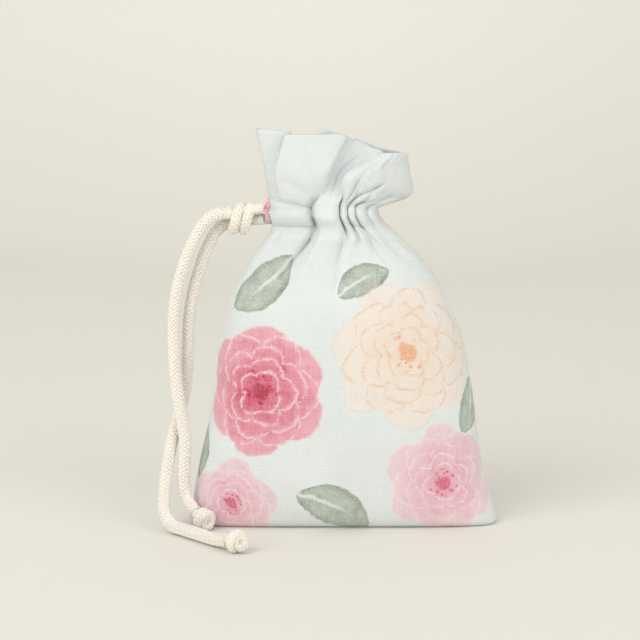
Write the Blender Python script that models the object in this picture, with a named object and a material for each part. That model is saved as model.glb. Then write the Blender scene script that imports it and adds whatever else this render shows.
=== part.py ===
"""Kinchaku drawstring pouch, standing with its neck drawn closed.

Two printed cloth panels are sewn together at the sides and the bottom. The top of each is folded
inside, stitched down below the casing and stands above it as a double ruffle. One cotton cord runs
round through both casings, leaves by a slit in the left side seam, is tied once there and hangs
down in two tails to the table, each with a small knot at its end.

Units are metres, +Z is up, the front faces -Y, and the origin is the middle of the base on the table.
"""

import math

import bmesh
import bpy
import numpy as np

MM = 0.001

# Cloth
CLOTH = 0.5 * MM            # thickness of one layer
SEAM_GAP = 0.3 * MM         # gap between the two panels at the seams
BASE_LIFT = 0.5 * MM        # rise of the base's edge at the two lower corners
HEM_END = 106.4 * MM        # height of the folded-in hem's lower edge
COLUMNS = 32                # divisions across a panel
PLEATS = 4                  # soft pleats across a panel
RING_POWER = 2.5            # squareness of a level section, 2 is an ellipse
CURVE_SAMPLES = 400         # samples along a curve before it is divided evenly

# Level sections of the body: height, left edge, right edge, half depth, pleat height (all in mm)
BODY_LEVELS = (
    (0.0, -56.0, 56.0, 12.0, 0.0),
    (1.4, -56.6, 56.6, 15.0, 0.0),
    (5.0, -56.2, 56.2, 17.2, 0.0),
    (12.0, -55.0, 54.4, 19.2, 0.0),
    (24.0, -52.8, 51.8, 21.0, 0.0),
    (38.0, -49.8, 49.5, 22.2, 0.0),
    (54.0, -47.4, 47.0, 22.4, 0.0),
    (70.0, -44.9, 43.8, 21.4, 0.3),
    (82.0, -41.8, 39.0, 19.4, 0.7),
    (91.0, -37.8, 34.6, 17.0, 1.1),
    (99.0, -33.4, 28.4, 14.2, 1.5),
    (104.0, -29.6, 23.4, 12.0, 1.7),
)

# Cord and the casing round it
CORD_RADIUS = 2.5 * MM
CORD_ROOM = 0.35 * MM       # free space round the cord inside the casing
CASING_HEIGHT = 115.0 * MM  # height of the cord's loop
NECK_CENTRE = -7.2 * MM
LOOP_HALF_WIDTH = 16.4 * MM
LOOP_HALF_DEPTH = 6.5 * MM
NECK_HALF_WIDTH = LOOP_HALF_WIDTH + CORD_RADIUS + CORD_ROOM + CLOTH
NECK_HALF_DEPTH = LOOP_HALF_DEPTH + CORD_RADIUS + CORD_ROOM + CLOTH
NECK_FOOT_RIGHT = 20.2 * MM     # right edge of the wall just below the casing
# Casing levels: height from the cord's centre, half height of the room for the cord there,
# extra width on the right, pleat height, and how much of the panel's width the slit takes
CASING_LEVELS = (
    (-4.4, 0.00, 1.8, 1.6, 0.11),
    (-2.2, 2.60, 1.0, 1.4, 0.19),
    (0.0, 2.85, 0.3, 1.2, 0.20),
    (2.2, 2.60, 0.0, 1.0, 0.19),
    (4.4, 0.00, 0.0, 0.8, 0.11),
)

# Ruffle: the top edge of each panel from the left seam to the right seam, in mm
FRONT_TOP_EDGE = (
    (-31.5, -0.15, 145.5), (-28.5, -4.5, 145.0), (-20.0, -8.4, 144.2), (-8.0, -10.4, 143.4),
    (4.0, -11.0, 142.0), (14.0, -10.0, 138.6), (21.5, -6.6, 134.6), (25.0, -0.15, 131.0),
)
BACK_TOP_EDGE = (
    (-31.5, 0.15, 145.5), (-28.0, 4.2, 145.9), (-20.0, 7.8, 146.0), (-8.0, 9.8, 146.0),
    (4.0, 10.2, 145.0), (14.0, 9.0, 141.6), (21.5, 5.8, 136.4), (25.0, 0.15, 131.0),
)
RUFFLE_FOOT = CASING_HEIGHT + 5.6 * MM
RUFFLE_STEPS = (0.0, 0.2, 0.5, 0.8, 1.0)    # levels from the casing to the top edge
RUFFLE_WAVE = 1.9 * MM                  # height of the ruffle's waves at the top edge

# Cord routes, in mm. The loop runs from the tied knot through the slit and both casings.
KNOT_CENTRE = (-37.0, 0.0, 113.8)
KNOT_HALF_SIZE = (6.6, 6.0, 5.7)
STRAND_OFFSET = 2.75        # the two strands lie side by side at the slit
SHORT_TAIL_ROUTE = (
    (-44.3, -2.6, 115.4), (-47.9, -2.9, 114.2), (-51.5, -3.2, 110.8), (-55.1, -3.5, 104.4),
    (-58.4, -3.7, 96.3), (-60.8, -3.9, 87.8), (-62.1, -4.3, 78.0), (-62.3, -4.9, 67.8),
    (-61.8, -6.0, 57.0), (-60.6, -7.4, 47.2), (-59.2, -8.4, 39.0), (-58.1, -8.8, 31.0),
    (-58.6, -9.0, 22.4), (-58.8, -9.5, 15.4), (-57.4, -11.1, 10.2), (-54.5, -14.2, 6.4),
)
LONG_TAIL_ROUTE = (
    (-43.6, 2.7, 111.4), (-47.0, 2.6, 108.0), (-50.1, 2.2, 102.4), (-52.9, 1.7, 94.4),
    (-55.3, 1.2, 86.0), (-56.8, 0.9, 77.0), (-57.4, 0.7, 67.0), (-57.9, 0.2, 57.0),
    (-59.1, -0.8, 47.4), (-61.2, -2.8, 39.0), (-63.3, -5.9, 31.2), (-64.8, -9.6, 22.0),
    (-65.7, -13.0, 13.4), (-65.4, -16.8, 6.6), (-62.7, -21.2, 3.2), (-57.6, -27.2, 2.6),
    (-51.6, -34.2, 2.6), (-45.6, -41.4, 2.6), (-41.0, -46.8, 3.4),
)
SHORT_KNOT_CENTRE = (-51.4, -17.1, 4.4)
LONG_KNOT_CENTRE = (-38.0, -50.3, 4.4)
END_KNOT_RADIUS = 4.3 * MM


def smooth_curve(points, samples=CURVE_SAMPLES):
    """Catmull-Rom curve through the points, as an array of closely spaced samples."""
    points = np.asarray(points, dtype=float)
    first = 2.0 * points[0] - points[1]
    last = 2.0 * points[-1] - points[-2]
    padded = np.vstack([first, points, last])
    spans = len(points) - 1
    out = []
    for step in np.linspace(0.0, spans, samples):
        span = min(int(step), spans - 1)
        t = step - span
        p0, p1, p2, p3 = padded[span:span + 4]
        out.append(0.5 * (2.0 * p1 + (p2 - p0) * t + (2.0 * p0 - 5.0 * p1 + 4.0 * p2 - p3) * t ** 2
                          + (3.0 * p1 - p0 - 3.0 * p2 + p3) * t ** 3))
    return np.array(out)


def spread_evenly(curve, shares):
    """Points of the curve at the given shares (0 to 1) of its length."""
    steps = np.linalg.norm(np.diff(curve, axis=0), axis=1)
    run = np.concatenate([[0.0], np.cumsum(steps)]) / steps.sum()
    return np.stack([np.interp(shares, run, curve[:, axis]) for axis in range(curve.shape[1])], axis=1)


def half_ring(left, right, depth, side):
    """Half of a level section from the left seam to the right seam, side -1 front and +1 back."""
    angle = np.linspace(0.0, math.pi, CURVE_SAMPLES)
    along = -np.sign(np.cos(angle)) * np.abs(np.cos(angle)) ** (2.0 / RING_POWER)
    out = np.abs(np.sin(angle)) ** (2.0 / RING_POWER)
    x = 0.5 * (left + right) + 0.5 * (right - left) * along
    return np.stack([x, side * depth * out], axis=1)


def inset(points, side, distance):
    """Moves a row's points towards the inside of the pouch, square to the row."""
    tangent = np.gradient(points[:, :2], axis=0)
    inward = side * np.stack([tangent[:, 1], -tangent[:, 0]], axis=1)
    inward /= np.linalg.norm(inward, axis=1)[:, None]
    moved = np.array(points)
    moved[:, :2] += inward * np.reshape(distance, (-1, 1))
    return moved


def pleated(ring, side, shares, height):
    """The ring's points at the shares, pushed out by soft pleats that die away at the seams."""
    wave = (1.0 - np.cos(2.0 * math.pi * PLEATS * shares)) * np.sin(math.pi * shares) ** 0.5
    return inset(spread_evenly(ring, shares), side, -height * wave)


def at_height(points, z):
    return np.column_stack([points, np.full(len(points), z)])


class PanelRows:
    """Rows of points that build a panel upward: outer face, inner face and the casing's two faces."""

    def __init__(self, side):
        self.side = side
        self.outer = []
        self.inner = []
        self.casing = {}
        self.shares = np.linspace(0.0, 1.0, COLUMNS + 1)

    def add(self, outer, inner):
        self.outer.append(self.off_seam(outer))
        self.inner.append(self.off_seam(inner))

    def off_seam(self, points):
        """Keeps a row on its own side of the seam plane."""
        points = np.array(points)
        points[:, 1] = self.side * np.maximum(self.side * points[:, 1], 0.5 * SEAM_GAP)
        return points

    def add_base(self):
        """The bottom seam, and the front or back edge that lies on the table."""
        _, left, right, depth, _ = (value * MM for value in BODY_LEVELS[0])
        seam_line = np.column_stack([np.linspace(left, right, COLUMNS + 1),
                                     np.zeros(COLUMNS + 1), np.zeros(COLUMNS + 1)])
        self.add(seam_line, seam_line + (0.0, 0.0, CLOTH))
        edge = spread_evenly(half_ring(left, right, depth, self.side), self.shares)
        lift = BASE_LIFT * np.abs(2.0 * self.shares - 1.0) ** 8
        inner = inset(edge, self.side, 0.5 * CLOTH)
        self.add(np.column_stack([edge, lift]), np.column_stack([inner, lift + CLOTH]))

    def add_wall(self, z, left, right, depth, pleat, layers=1):
        """A level of the wall, of one or two layers of cloth."""
        outer = pleated(half_ring(left, right, depth, self.side), self.side, self.shares, pleat)
        self.add(at_height(outer, z), at_height(inset(outer, self.side, layers * CLOTH), z))

    def add_body(self):
        for level in BODY_LEVELS[1:]:
            self.add_wall(*(value * MM for value in level))
        for layers, z in ((1, HEM_END - 0.2 * MM), (2, HEM_END)):
            self.add_wall(z, NECK_CENTRE - NECK_HALF_WIDTH, NECK_FOOT_RIGHT,
                          NECK_HALF_DEPTH + 0.3 * MM, 1.6 * MM, layers)

    def add_casing(self):
        """The casing: an outer and an inner layer with the cord's room between them."""
        for dz, room, extra, pleat, slit in CASING_LEVELS:
            z = CASING_HEIGHT + dz * MM
            shares = slit + (1.0 - slit) * self.shares
            ring = half_ring(NECK_CENTRE - NECK_HALF_WIDTH,
                             NECK_CENTRE + NECK_HALF_WIDTH + extra * MM, NECK_HALF_DEPTH, self.side)
            outer = pleated(ring, self.side, shares, pleat * MM)
            room_outer = inset(outer, self.side, CLOTH)
            if room == 0.0:
                room_inner = room_outer
            else:
                room_inner = spread_evenly(
                    half_ring(NECK_CENTRE - LOOP_HALF_WIDTH + room * MM,
                              NECK_CENTRE + LOOP_HALF_WIDTH - room * MM,
                              LOOP_HALF_DEPTH - room * MM, self.side), shares)
            inner = inset(room_inner, self.side, CLOTH)
            self.add(at_height(outer, z), at_height(inner, z))
            self.casing[len(self.outer) - 1] = (self.off_seam(at_height(room_outer, z)),
                                                self.off_seam(at_height(room_inner, z)))

    def add_ruffle(self):
        """The double ruffle, flaring from the casing to its wavy top edge."""
        edge = FRONT_TOP_EDGE if self.side < 0 else BACK_TOP_EDGE
        top = spread_evenly(smooth_curve(np.array(edge) * MM), self.shares)
        ring = half_ring(NECK_CENTRE - NECK_HALF_WIDTH, NECK_CENTRE + NECK_HALF_WIDTH,
                         NECK_HALF_DEPTH, self.side)
        foot = at_height(spread_evenly(ring, self.shares), RUFFLE_FOOT)
        wave = np.sin(2.0 * math.pi * PLEATS * self.shares) * np.sin(math.pi * self.shares)
        for step in RUFFLE_STEPS:
            row = foot + (top - foot) * step
            row = inset(row, self.side, RUFFLE_WAVE * step * wave)
            self.add(row, inset(row, self.side, 2.0 * CLOTH))


def panel_mesh(rows, name):
    """Joins a panel's rows into one closed solid with the casing open at both ends."""
    bm = bmesh.new()

    def row_verts(points):
        return [bm.verts.new(point) for point in points]

    outer = [row_verts(points) for points in rows.outer]
    inner = [row_verts(points) for points in rows.inner]
    casing = {}
    levels = sorted(rows.casing)
    for level in levels:
        room_outer, room_inner = rows.casing[level]
        faces_apart = level not in (levels[0], levels[-1])
        first = row_verts(room_outer)
        casing[level] = (first, row_verts(room_inner) if faces_apart else first)

    def skin(lower, upper):
        for a, b, c, d in zip(lower, lower[1:], upper[1:], upper):
            bm.faces.new((a, b, c, d))

    last = len(outer) - 1
    for level in range(last):
        skin(outer[level], outer[level + 1])
        skin(inner[level + 1], inner[level])
        in_casing = level in casing and level + 1 in casing
        if in_casing:
            skin(casing[level + 1][0], casing[level][0])
            skin(casing[level][1], casing[level + 1][1])
        for end in (0, -1):
            corners = (outer[level][end], outer[level + 1][end],
                       inner[level + 1][end], inner[level][end])
            if not in_casing:
                low = casing[level][0][end] if level in casing else None
                high = casing[level + 1][0][end] if level + 1 in casing else None
                ring = [corners[0], corners[1], high, corners[2], corners[3], low]
                bm.faces.new([vert for vert in ring if vert is not None])
            else:
                low, high = casing[level], casing[level + 1]
                for pair in ((corners[0], corners[1], high[0][end], low[0][end]),
                             (low[1][end], high[1][end], corners[2], corners[3])):
                    bm.faces.new(list(dict.fromkeys(pair)))
    skin(inner[0], outer[0])
    skin(outer[last], inner[last])
    bmesh.ops.recalc_face_normals(bm, faces=bm.faces)
    bmesh.ops.triangulate(bm, faces=bm.faces)
    mesh = bpy.data.meshes.new(name)
    bm.to_mesh(mesh)
    bm.free()
    mesh.shade_smooth()
    return mesh


def material(name, colour, roughness):
    finish = bpy.data.materials.new(name)
    finish.use_nodes = True
    shader = finish.node_tree.nodes["Principled BSDF"]
    shader.inputs["Base Color"].default_value = (*colour, 1.0)
    shader.inputs["Roughness"].default_value = roughness
    shader.inputs["Metallic"].default_value = 0.0
    return finish


def link(obj, finish):
    bpy.context.scene.collection.objects.link(obj)
    obj.data.materials.append(finish)
    return obj


def make_panel(name, side, finish):
    """A cloth panel, side -1 for the front and +1 for the back."""
    rows = PanelRows(side)
    rows.add_base()
    rows.add_body()
    rows.add_casing()
    rows.add_ruffle()
    return link(bpy.data.objects.new(name, panel_mesh(rows, name)), finish)


def make_cord(name, route, points, finish):
    """A round cord along a smooth curve through the route, with flat ends."""
    path = spread_evenly(smooth_curve(np.array(route) * MM), np.linspace(0.0, 1.0, points))
    data = bpy.data.curves.new(name, "CURVE")
    data.dimensions = "3D"
    data.bevel_depth = CORD_RADIUS
    data.bevel_resolution = 2
    data.use_fill_caps = True
    spline = data.splines.new("POLY")
    spline.points.add(len(path) - 1)
    for point, place in zip(spline.points, path):
        point.co = (*place, 1.0)
    return link(bpy.data.objects.new(name, data), finish)


def loop_route():
    """Route of the cord inside the pouch: in by the slit, round both casings and out again."""
    knot_face = KNOT_CENTRE[0] + KNOT_HALF_SIZE[0] + 0.3
    height = CASING_HEIGHT / MM
    lead_in = [(knot_face, -STRAND_OFFSET, height - 0.4), (knot_face + 4.0, -STRAND_OFFSET, height)]
    ring = half_ring(NECK_CENTRE - LOOP_HALF_WIDTH, NECK_CENTRE + LOOP_HALF_WIDTH,
                     LOOP_HALF_DEPTH, -1) / MM
    front = [(x, y, height) for x, y in spread_evenly(ring, np.linspace(0.16, 1.0, 9))]
    back = [(x, -y, z) for x, y, z in reversed(front[:-1])]
    lead_out = [(x, -y, z) for x, y, z in reversed(lead_in)]
    return lead_in + front + back + lead_out


def make_knot(name, centre, half_size, finish):
    """A tied knot as one rounded solid."""
    bm = bmesh.new()
    bmesh.ops.create_uvsphere(bm, u_segments=14, v_segments=9, radius=1.0)
    bmesh.ops.scale(bm, vec=half_size, verts=bm.verts)
    bmesh.ops.translate(bm, vec=centre, verts=bm.verts)
    bmesh.ops.triangulate(bm, faces=bm.faces)
    mesh = bpy.data.meshes.new(name)
    bm.to_mesh(mesh)
    bm.free()
    mesh.shade_smooth()
    return link(bpy.data.objects.new(name, mesh), finish)


def main():
    for obj in list(bpy.data.objects):
        bpy.data.objects.remove(obj)

    make_panel("front_panel", -1, material("printed_cloth_front", (0.80, 0.87, 0.90), 0.9))
    make_panel("back_panel", 1, material("printed_cloth_back", (0.79, 0.86, 0.89), 0.9))

    cord = (0.87, 0.83, 0.76)
    make_cord("drawstring_in_casing", loop_route(), 34, material("cord_in_casing", cord, 0.95))
    make_cord("long_tail", LONG_TAIL_ROUTE, 36, material("cord_long_tail", cord, 0.95))
    make_cord("short_tail", SHORT_TAIL_ROUTE, 26, material("cord_short_tail", cord, 0.95))

    make_knot("exit_knot", np.array(KNOT_CENTRE) * MM, np.array(KNOT_HALF_SIZE) * MM,
              material("exit_knot", cord, 0.95))
    end_size = (END_KNOT_RADIUS,) * 3
    make_knot("long_tail_knot", np.array(LONG_KNOT_CENTRE) * MM, end_size,
              material("long_tail_knot", cord, 0.95))
    make_knot("short_tail_knot", np.array(SHORT_KNOT_CENTRE) * MM, end_size,
              material("short_tail_knot", cord, 0.95))


main()
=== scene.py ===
"""Looks of the kinchaku drawstring pouch: printed cloth, knitted cotton cord, knots and stitching.

The pouch stands with its neck drawn closed. Units are metres, +Z is up and the front faces -Y.
"""

import logging
import math
from dataclasses import dataclass, field
from enum import Enum

import bmesh
import bpy
import numpy as np
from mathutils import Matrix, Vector, noise


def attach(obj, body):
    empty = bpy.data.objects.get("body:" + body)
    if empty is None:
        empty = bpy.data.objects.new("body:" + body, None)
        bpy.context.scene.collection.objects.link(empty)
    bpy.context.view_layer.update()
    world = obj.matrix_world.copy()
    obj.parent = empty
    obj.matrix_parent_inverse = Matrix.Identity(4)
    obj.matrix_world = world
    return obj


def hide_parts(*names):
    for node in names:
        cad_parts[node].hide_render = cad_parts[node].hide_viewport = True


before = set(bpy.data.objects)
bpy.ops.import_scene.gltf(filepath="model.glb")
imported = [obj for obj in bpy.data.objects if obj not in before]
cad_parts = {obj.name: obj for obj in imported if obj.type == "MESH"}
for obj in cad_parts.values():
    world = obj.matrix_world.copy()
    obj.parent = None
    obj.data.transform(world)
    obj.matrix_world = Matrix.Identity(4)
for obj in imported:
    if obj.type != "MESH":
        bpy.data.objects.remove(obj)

MM = 0.001
ROOT_BODY = "root"
LOG = logging.getLogger("pouch")


def smooth_step(value: np.ndarray) -> np.ndarray:
    """Smooth rise from 0 to 1 as the value goes from 0 to 1."""
    held = np.clip(value, 0.0, 1.0)
    return held * held * (3.0 - 2.0 * held)


def smooth_through(places: np.ndarray, known: np.ndarray, values: np.ndarray) -> np.ndarray:
    """Smooth curve through known values, read at other places.

    Args:
        places: Where the curve is read.
        known: Rising positions of the known values.
        values: One row of values for each known position.

    Returns:
        One row of values for each place.
    """
    known = np.asarray(known, dtype=float)
    values = np.asarray(values, dtype=float)
    slopes = np.gradient(values, known, axis=0)
    span = np.clip(np.searchsorted(known, places, side="right") - 1, 0, len(known) - 2)
    width = known[span + 1] - known[span]
    t = np.clip((places - known[span]) / width, 0.0, 1.0)
    shape = (-1,) + (1,) * (values.ndim - 1)
    t, width = t.reshape(shape), width.reshape(shape)
    return ((2 * t**3 - 3 * t**2 + 1) * values[span] + (t**3 - 2 * t**2 + t) * width * slopes[span]
            + (3 * t**2 - 2 * t**3) * values[span + 1] + (t**3 - t**2) * width * slopes[span + 1])


def smooth_route(points: np.ndarray, spacing: float) -> np.ndarray:
    """Evenly spaced points along a smooth curve through a route.

    Args:
        points: The route's own points.
        spacing: Distance between two points of the result.

    Returns:
        Points along the curve, both ends included.
    """
    points = np.asarray(points, dtype=float)
    chords = np.linalg.norm(np.diff(points, axis=0), axis=1)
    known = np.concatenate([[0.0], np.cumsum(chords)])
    fine = smooth_through(np.linspace(0.0, known[-1], 40 * len(points)), known, points)
    run = np.concatenate([[0.0], np.cumsum(np.linalg.norm(np.diff(fine, axis=0), axis=1))])
    count = max(3, int(round(run[-1] / spacing)) + 1)
    even = np.linspace(0.0, run[-1], count)
    return np.stack([np.interp(even, run, fine[:, axis]) for axis in range(3)], axis=1)


def length_of(path: np.ndarray) -> float:
    """Length of a path of points."""
    return float(np.linalg.norm(np.diff(path, axis=0), axis=1).sum())


def add_object(name: str, mesh: bpy.types.Mesh) -> bpy.types.Object:
    """Puts a mesh into the scene as an object at the origin."""
    obj = bpy.data.objects.new(name, mesh)
    bpy.context.scene.collection.objects.link(obj)
    return obj


def mesh_from(name: str, points: np.ndarray, faces: list, edges: list | None = None) -> bpy.types.Mesh:
    """A mesh of given points, faces and loose edges."""
    mesh = bpy.data.meshes.new(name)
    mesh.from_pydata([tuple(point) for point in points], edges or [], faces)
    mesh.update()
    return mesh


def polyline_object(name: str, chains: list) -> bpy.types.Object:
    """An object that holds one or more lines of points as chains of edges."""
    edges, first = [], 0
    for chain in chains:
        edges.extend((first + i, first + i + 1) for i in range(len(chain) - 1))
        first += len(chain)
    return add_object(name, mesh_from(name, np.concatenate(chains), [], edges))


# ---------------------------------------------------------------------------------------------
# Node building
# ---------------------------------------------------------------------------------------------


class Graph:
    """Short calls for building a shader or geometry node tree."""

    def __init__(self, tree: bpy.types.NodeTree) -> None:
        """Keeps the tree that nodes are added to."""
        self.tree = tree

    def node(self, kind: str, inputs: dict | None = None, **settings) -> bpy.types.Node:
        """Adds a node.

        Args:
            kind: Blender's name of the node type.
            inputs: Values or source sockets, by the input's name or index.
            **settings: Properties of the node.

        Returns:
            The new node.
        """
        made = self.tree.nodes.new(kind)
        for key, value in settings.items():
            setattr(made, key, value)
        for key, value in (inputs or {}).items():
            self.feed(made.inputs[key], value)
        return made

    def feed(self, socket: bpy.types.NodeSocket, value) -> None:
        """Links a source socket, or sets a plain value."""
        if isinstance(value, bpy.types.NodeSocket):
            self.tree.links.new(value, socket)
        else:
            socket.default_value = value

    def math(self, operation: str, first, second=0.0, third=0.0, clamp: bool = False):
        """Output of a Math node."""
        kind = "ShaderNodeMath"
        made = self.node(kind, {0: first, 1: second, 2: third}, operation=operation, use_clamp=clamp)
        return made.outputs[0]

    def vector_math(self, operation: str, first, second=(0.0, 0.0, 0.0), scale=None):
        """Vector output of a Vector Math node."""
        inputs = {0: first, 1: second}
        if scale is not None:
            inputs = {0: first, "Scale": scale}
        return self.node("ShaderNodeVectorMath", inputs, operation=operation).outputs["Vector"]

    def between(self, value, low, high, start=0.0, end=1.0, smooth: bool = True):
        """Value remapped from low..high to start..end."""
        made = self.node("ShaderNodeMapRange", {0: value, 1: low, 2: high, 3: start, 4: end})
        made.interpolation_type = "SMOOTHSTEP" if smooth else "LINEAR"
        return made.outputs[0]

    def mix(self, factor, first, second, blend: str = "MIX"):
        """Colour output of a Mix node."""
        made = self.node("ShaderNodeMix", data_type="RGBA", blend_type=blend)
        self.feed(made.inputs[0], factor)
        self.feed(made.inputs[6], first)
        self.feed(made.inputs[7], second)
        return made.outputs[2]

    def noise(self, vector, scale: float, detail: float = 2.0, rough: float = 0.5, distort: float = 0.0):
        """Noise texture node reading a vector."""
        return self.node("ShaderNodeTexNoise", {"Vector": vector, "Scale": scale, "Detail": detail,
                                                "Roughness": rough, "Distortion": distort})


def open_group(name: str, inputs: dict, outputs: dict) -> tuple[Graph, bpy.types.Node, bpy.types.Node]:
    """Starts a shader node group.

    Args:
        name: The group's name.
        inputs: Socket type and default value by name.
        outputs: Socket type by name.

    Returns:
        The graph, its input node and its output node.
    """
    tree = bpy.data.node_groups.new(name, "ShaderNodeTree")
    for label, (kind, value) in inputs.items():
        socket = tree.interface.new_socket(label, in_out="INPUT", socket_type=kind)
        if value is not None:
            socket.default_value = value
    for label, kind in outputs.items():
        tree.interface.new_socket(label, in_out="OUTPUT", socket_type=kind)
    graph = Graph(tree)
    return graph, graph.node("NodeGroupInput"), graph.node("NodeGroupOutput")


FLOAT = "NodeSocketFloat"
COLOUR = "NodeSocketColor"
VECTOR = "NodeSocketVector"


class SharedEffects:
    """Shader node groups that more than one material uses, each built once."""

    def __init__(self) -> None:
        """Builds the groups."""
        self.weave = self.build_weave()
        self.fibre = self.build_fibre()
        self.blossom = self.build_blossom()
        self.leaf = self.build_leaf()

    @staticmethod
    def build_weave() -> bpy.types.NodeTree:
        """Plain weave with slubs: every thread has its own lightness and width."""
        graph, start, end = open_group(
            "plain_weave",
            {"Cloth": (VECTOR, None), "Thread": (FLOAT, 0.5 * MM), "Slub": (FLOAT, 0.5)},
            {"Height": FLOAT, "Shade": FLOAT},
        )
        pitch, slub = start.outputs["Thread"], start.outputs["Slub"]
        cloth = graph.node("ShaderNodeSeparateXYZ", {0: start.outputs["Cloth"]})
        heights, shades = [], []
        for along, across, seed in ((0, 1, 0.0), (1, 0, 7.3)):
            wander = graph.noise(start.outputs["Cloth"], 160.0, 1.0)
            place = graph.math("DIVIDE", cloth.outputs[across], pitch)
            place = graph.math("MULTIPLY_ADD", wander.outputs[0], 0.5, place)
            ridge = graph.math("COSINE", graph.math("MULTIPLY", place, 2.0 * math.pi))
            count = graph.math("FLOOR", graph.math("ADD", place, 0.5))
            run = graph.math("MULTIPLY", cloth.outputs[along], 90.0)
            spot = graph.node("ShaderNodeCombineXYZ", {0: run, 1: graph.math("MULTIPLY", count, 3.7), 2: seed})
            thread = graph.noise(spot.outputs[0], 1.0, 2.0, 0.6)
            heights.append(graph.math("MULTIPLY", ridge, graph.math("ADD", thread.outputs[0], 0.35)))
            shades.append(thread.outputs[0])
        step = graph.math("DIVIDE", cloth.outputs[0], pitch)
        other = graph.math("DIVIDE", cloth.outputs[1], pitch)
        over = graph.math("SINE", graph.math("MULTIPLY", step, math.pi))
        under = graph.math("SINE", graph.math("MULTIPLY", other, math.pi))
        cross = graph.math("MULTIPLY", over, under)
        total = graph.math("ADD", heights[0], heights[1])
        graph.feed(end.inputs["Height"], graph.math("MULTIPLY_ADD", cross, 0.35, total))
        thick = graph.math("ADD", shades[0], shades[1])
        shade = graph.math("MULTIPLY", graph.math("SUBTRACT", thick, 1.0), slub)
        graph.feed(end.inputs["Shade"], shade)
        return graph.tree

    @staticmethod
    def build_fibre() -> bpy.types.NodeTree:
        """Fine loose fibres, as a height and a faint lightness."""
        graph, start, end = open_group(
            "cotton_fibre", {"Place": (VECTOR, None), "Size": (FLOAT, 0.2 * MM)},
            {"Height": FLOAT, "Shade": FLOAT})
        size = graph.math("DIVIDE", 1.0, start.outputs["Size"])
        near = graph.vector_math("SCALE", start.outputs["Place"], scale=size)
        fine = graph.noise(near, 1.0, 3.0, 0.65, 0.6)
        coarse = graph.noise(near, 0.16, 2.0, 0.5)
        graph.feed(end.inputs["Height"], fine.outputs[0])
        both = graph.math("MULTIPLY_ADD", coarse.outputs[0], 0.6, graph.math("MULTIPLY", fine.outputs[0], 0.4))
        graph.feed(end.inputs["Shade"], graph.math("SUBTRACT", both, 0.5))
        return graph.tree

    @staticmethod
    def build_blossom() -> bpy.types.NodeTree:
        """An open watercolour blossom with rings of round petals and a dotted heart."""
        graph, start, end = open_group(
            "blossom",
            {"Cloth": (VECTOR, None), "Centre": (VECTOR, None), "Radius": (FLOAT, 20.0 * MM),
             "Petals": (FLOAT, 6.0), "Turn": (FLOAT, 0.0), "Line Share": (FLOAT, 0.6),
             "Ground": (COLOUR, None), "Pale": (COLOUR, None), "Deep": (COLOUR, None),
             "Line": (COLOUR, None), "Heart": (COLOUR, None)},
            {"Colour": COLOUR},
        )
        value = start.outputs
        offset = graph.vector_math("SUBTRACT", value["Cloth"], value["Centre"])
        near = graph.vector_math("SCALE", offset, scale=graph.math("DIVIDE", 1.0, value["Radius"]))
        seeded = graph.vector_math("ADD", near, graph.vector_math("SCALE", value["Centre"], scale=370.0))
        wobble = graph.noise(seeded, 1.9, 4.0, 0.62)
        shift = graph.vector_math("SCALE", graph.vector_math(
            "SUBTRACT", wobble.outputs[1], (0.5, 0.5, 0.5)), scale=0.30)
        flat = graph.node("ShaderNodeSeparateXYZ", {0: graph.vector_math("ADD", near, shift)})
        x, y = flat.outputs[0], flat.outputs[1]
        reach = graph.math("SQRT", graph.math("MULTIPLY_ADD", x, x, graph.math("MULTIPLY", y, y)))
        angle = graph.math("ADD", graph.math("ARCTAN2", y, x), value["Turn"])
        wash = graph.noise(seeded, 3.2, 5.0, 0.65)
        grain = graph.noise(seeded, 26.0, 3.0, 0.75)
        broken = graph.between(graph.noise(seeded, 6.5, 3.0, 0.6).outputs[0], 0.36, 0.54)
        speckle = graph.math("SUBTRACT", grain.outputs[0], 0.5)
        colour = value["Ground"]
        rings = ((1.00, 0.0, 1.0, 0.05), (0.84, 0.5, 1.0, 0.22), (0.67, 0.2, 1.0, 0.45), (0.50, 0.8, 0.8, 0.68),
                 (0.34, 0.3, 0.7, 0.9))
        for size, twist, share, depth in rings:
            count = graph.math("ROUND", graph.math("MULTIPLY", value["Petals"], share))
            lobe = graph.math("MULTIPLY", graph.math("ADD", angle, twist), count)
            scallop = graph.math("ABSOLUTE", graph.math("SINE", graph.math("MULTIPLY", lobe, 0.5)))
            tip = graph.math("POWER", scallop, 0.6)
            edge = graph.math("MULTIPLY", graph.math("MULTIPLY_ADD", tip, 0.26, 0.74), size)
            ragged = graph.math("MULTIPLY_ADD", speckle, 0.10, edge)
            soft = 0.09 if size == 1.0 else 0.03
            inside = graph.between(reach, ragged, graph.math("SUBTRACT", ragged, soft))
            rim = graph.between(reach, graph.math("SUBTRACT", edge, 0.16), edge)
            vein = graph.math("POWER", graph.math("SUBTRACT", 1.0, scallop), 3.0)
            pigment = graph.math("MULTIPLY_ADD", wash.outputs[0], 1.5, -0.72 + 0.75 * depth)
            pigment = graph.math("MULTIPLY_ADD", rim, -0.28, pigment)
            pigment = graph.math("MULTIPLY_ADD", vein, 0.45, pigment)
            pigment = graph.math("MULTIPLY_ADD", speckle, 0.9, pigment, clamp=True)
            tint = graph.mix(pigment, value["Pale"], value["Deep"])
            stroke = graph.math("MULTIPLY", graph.between(
                reach, graph.math("SUBTRACT", edge, 0.07), graph.math("SUBTRACT", edge, 0.02)),
                                graph.between(reach, graph.math("ADD", edge, 0.02), edge))
            stroke = graph.math("MULTIPLY", graph.math("MULTIPLY", stroke, broken), value["Line Share"])
            tint = graph.mix(stroke, tint, value["Line"])
            cover = graph.math("MULTIPLY_ADD", speckle, 0.5, 0.93, clamp=True)
            colour = graph.mix(graph.math("MULTIPLY", inside, cover), colour, tint)
        heart_edge = graph.math("MULTIPLY_ADD", wobble.outputs[0], 0.16, 0.06)
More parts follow.
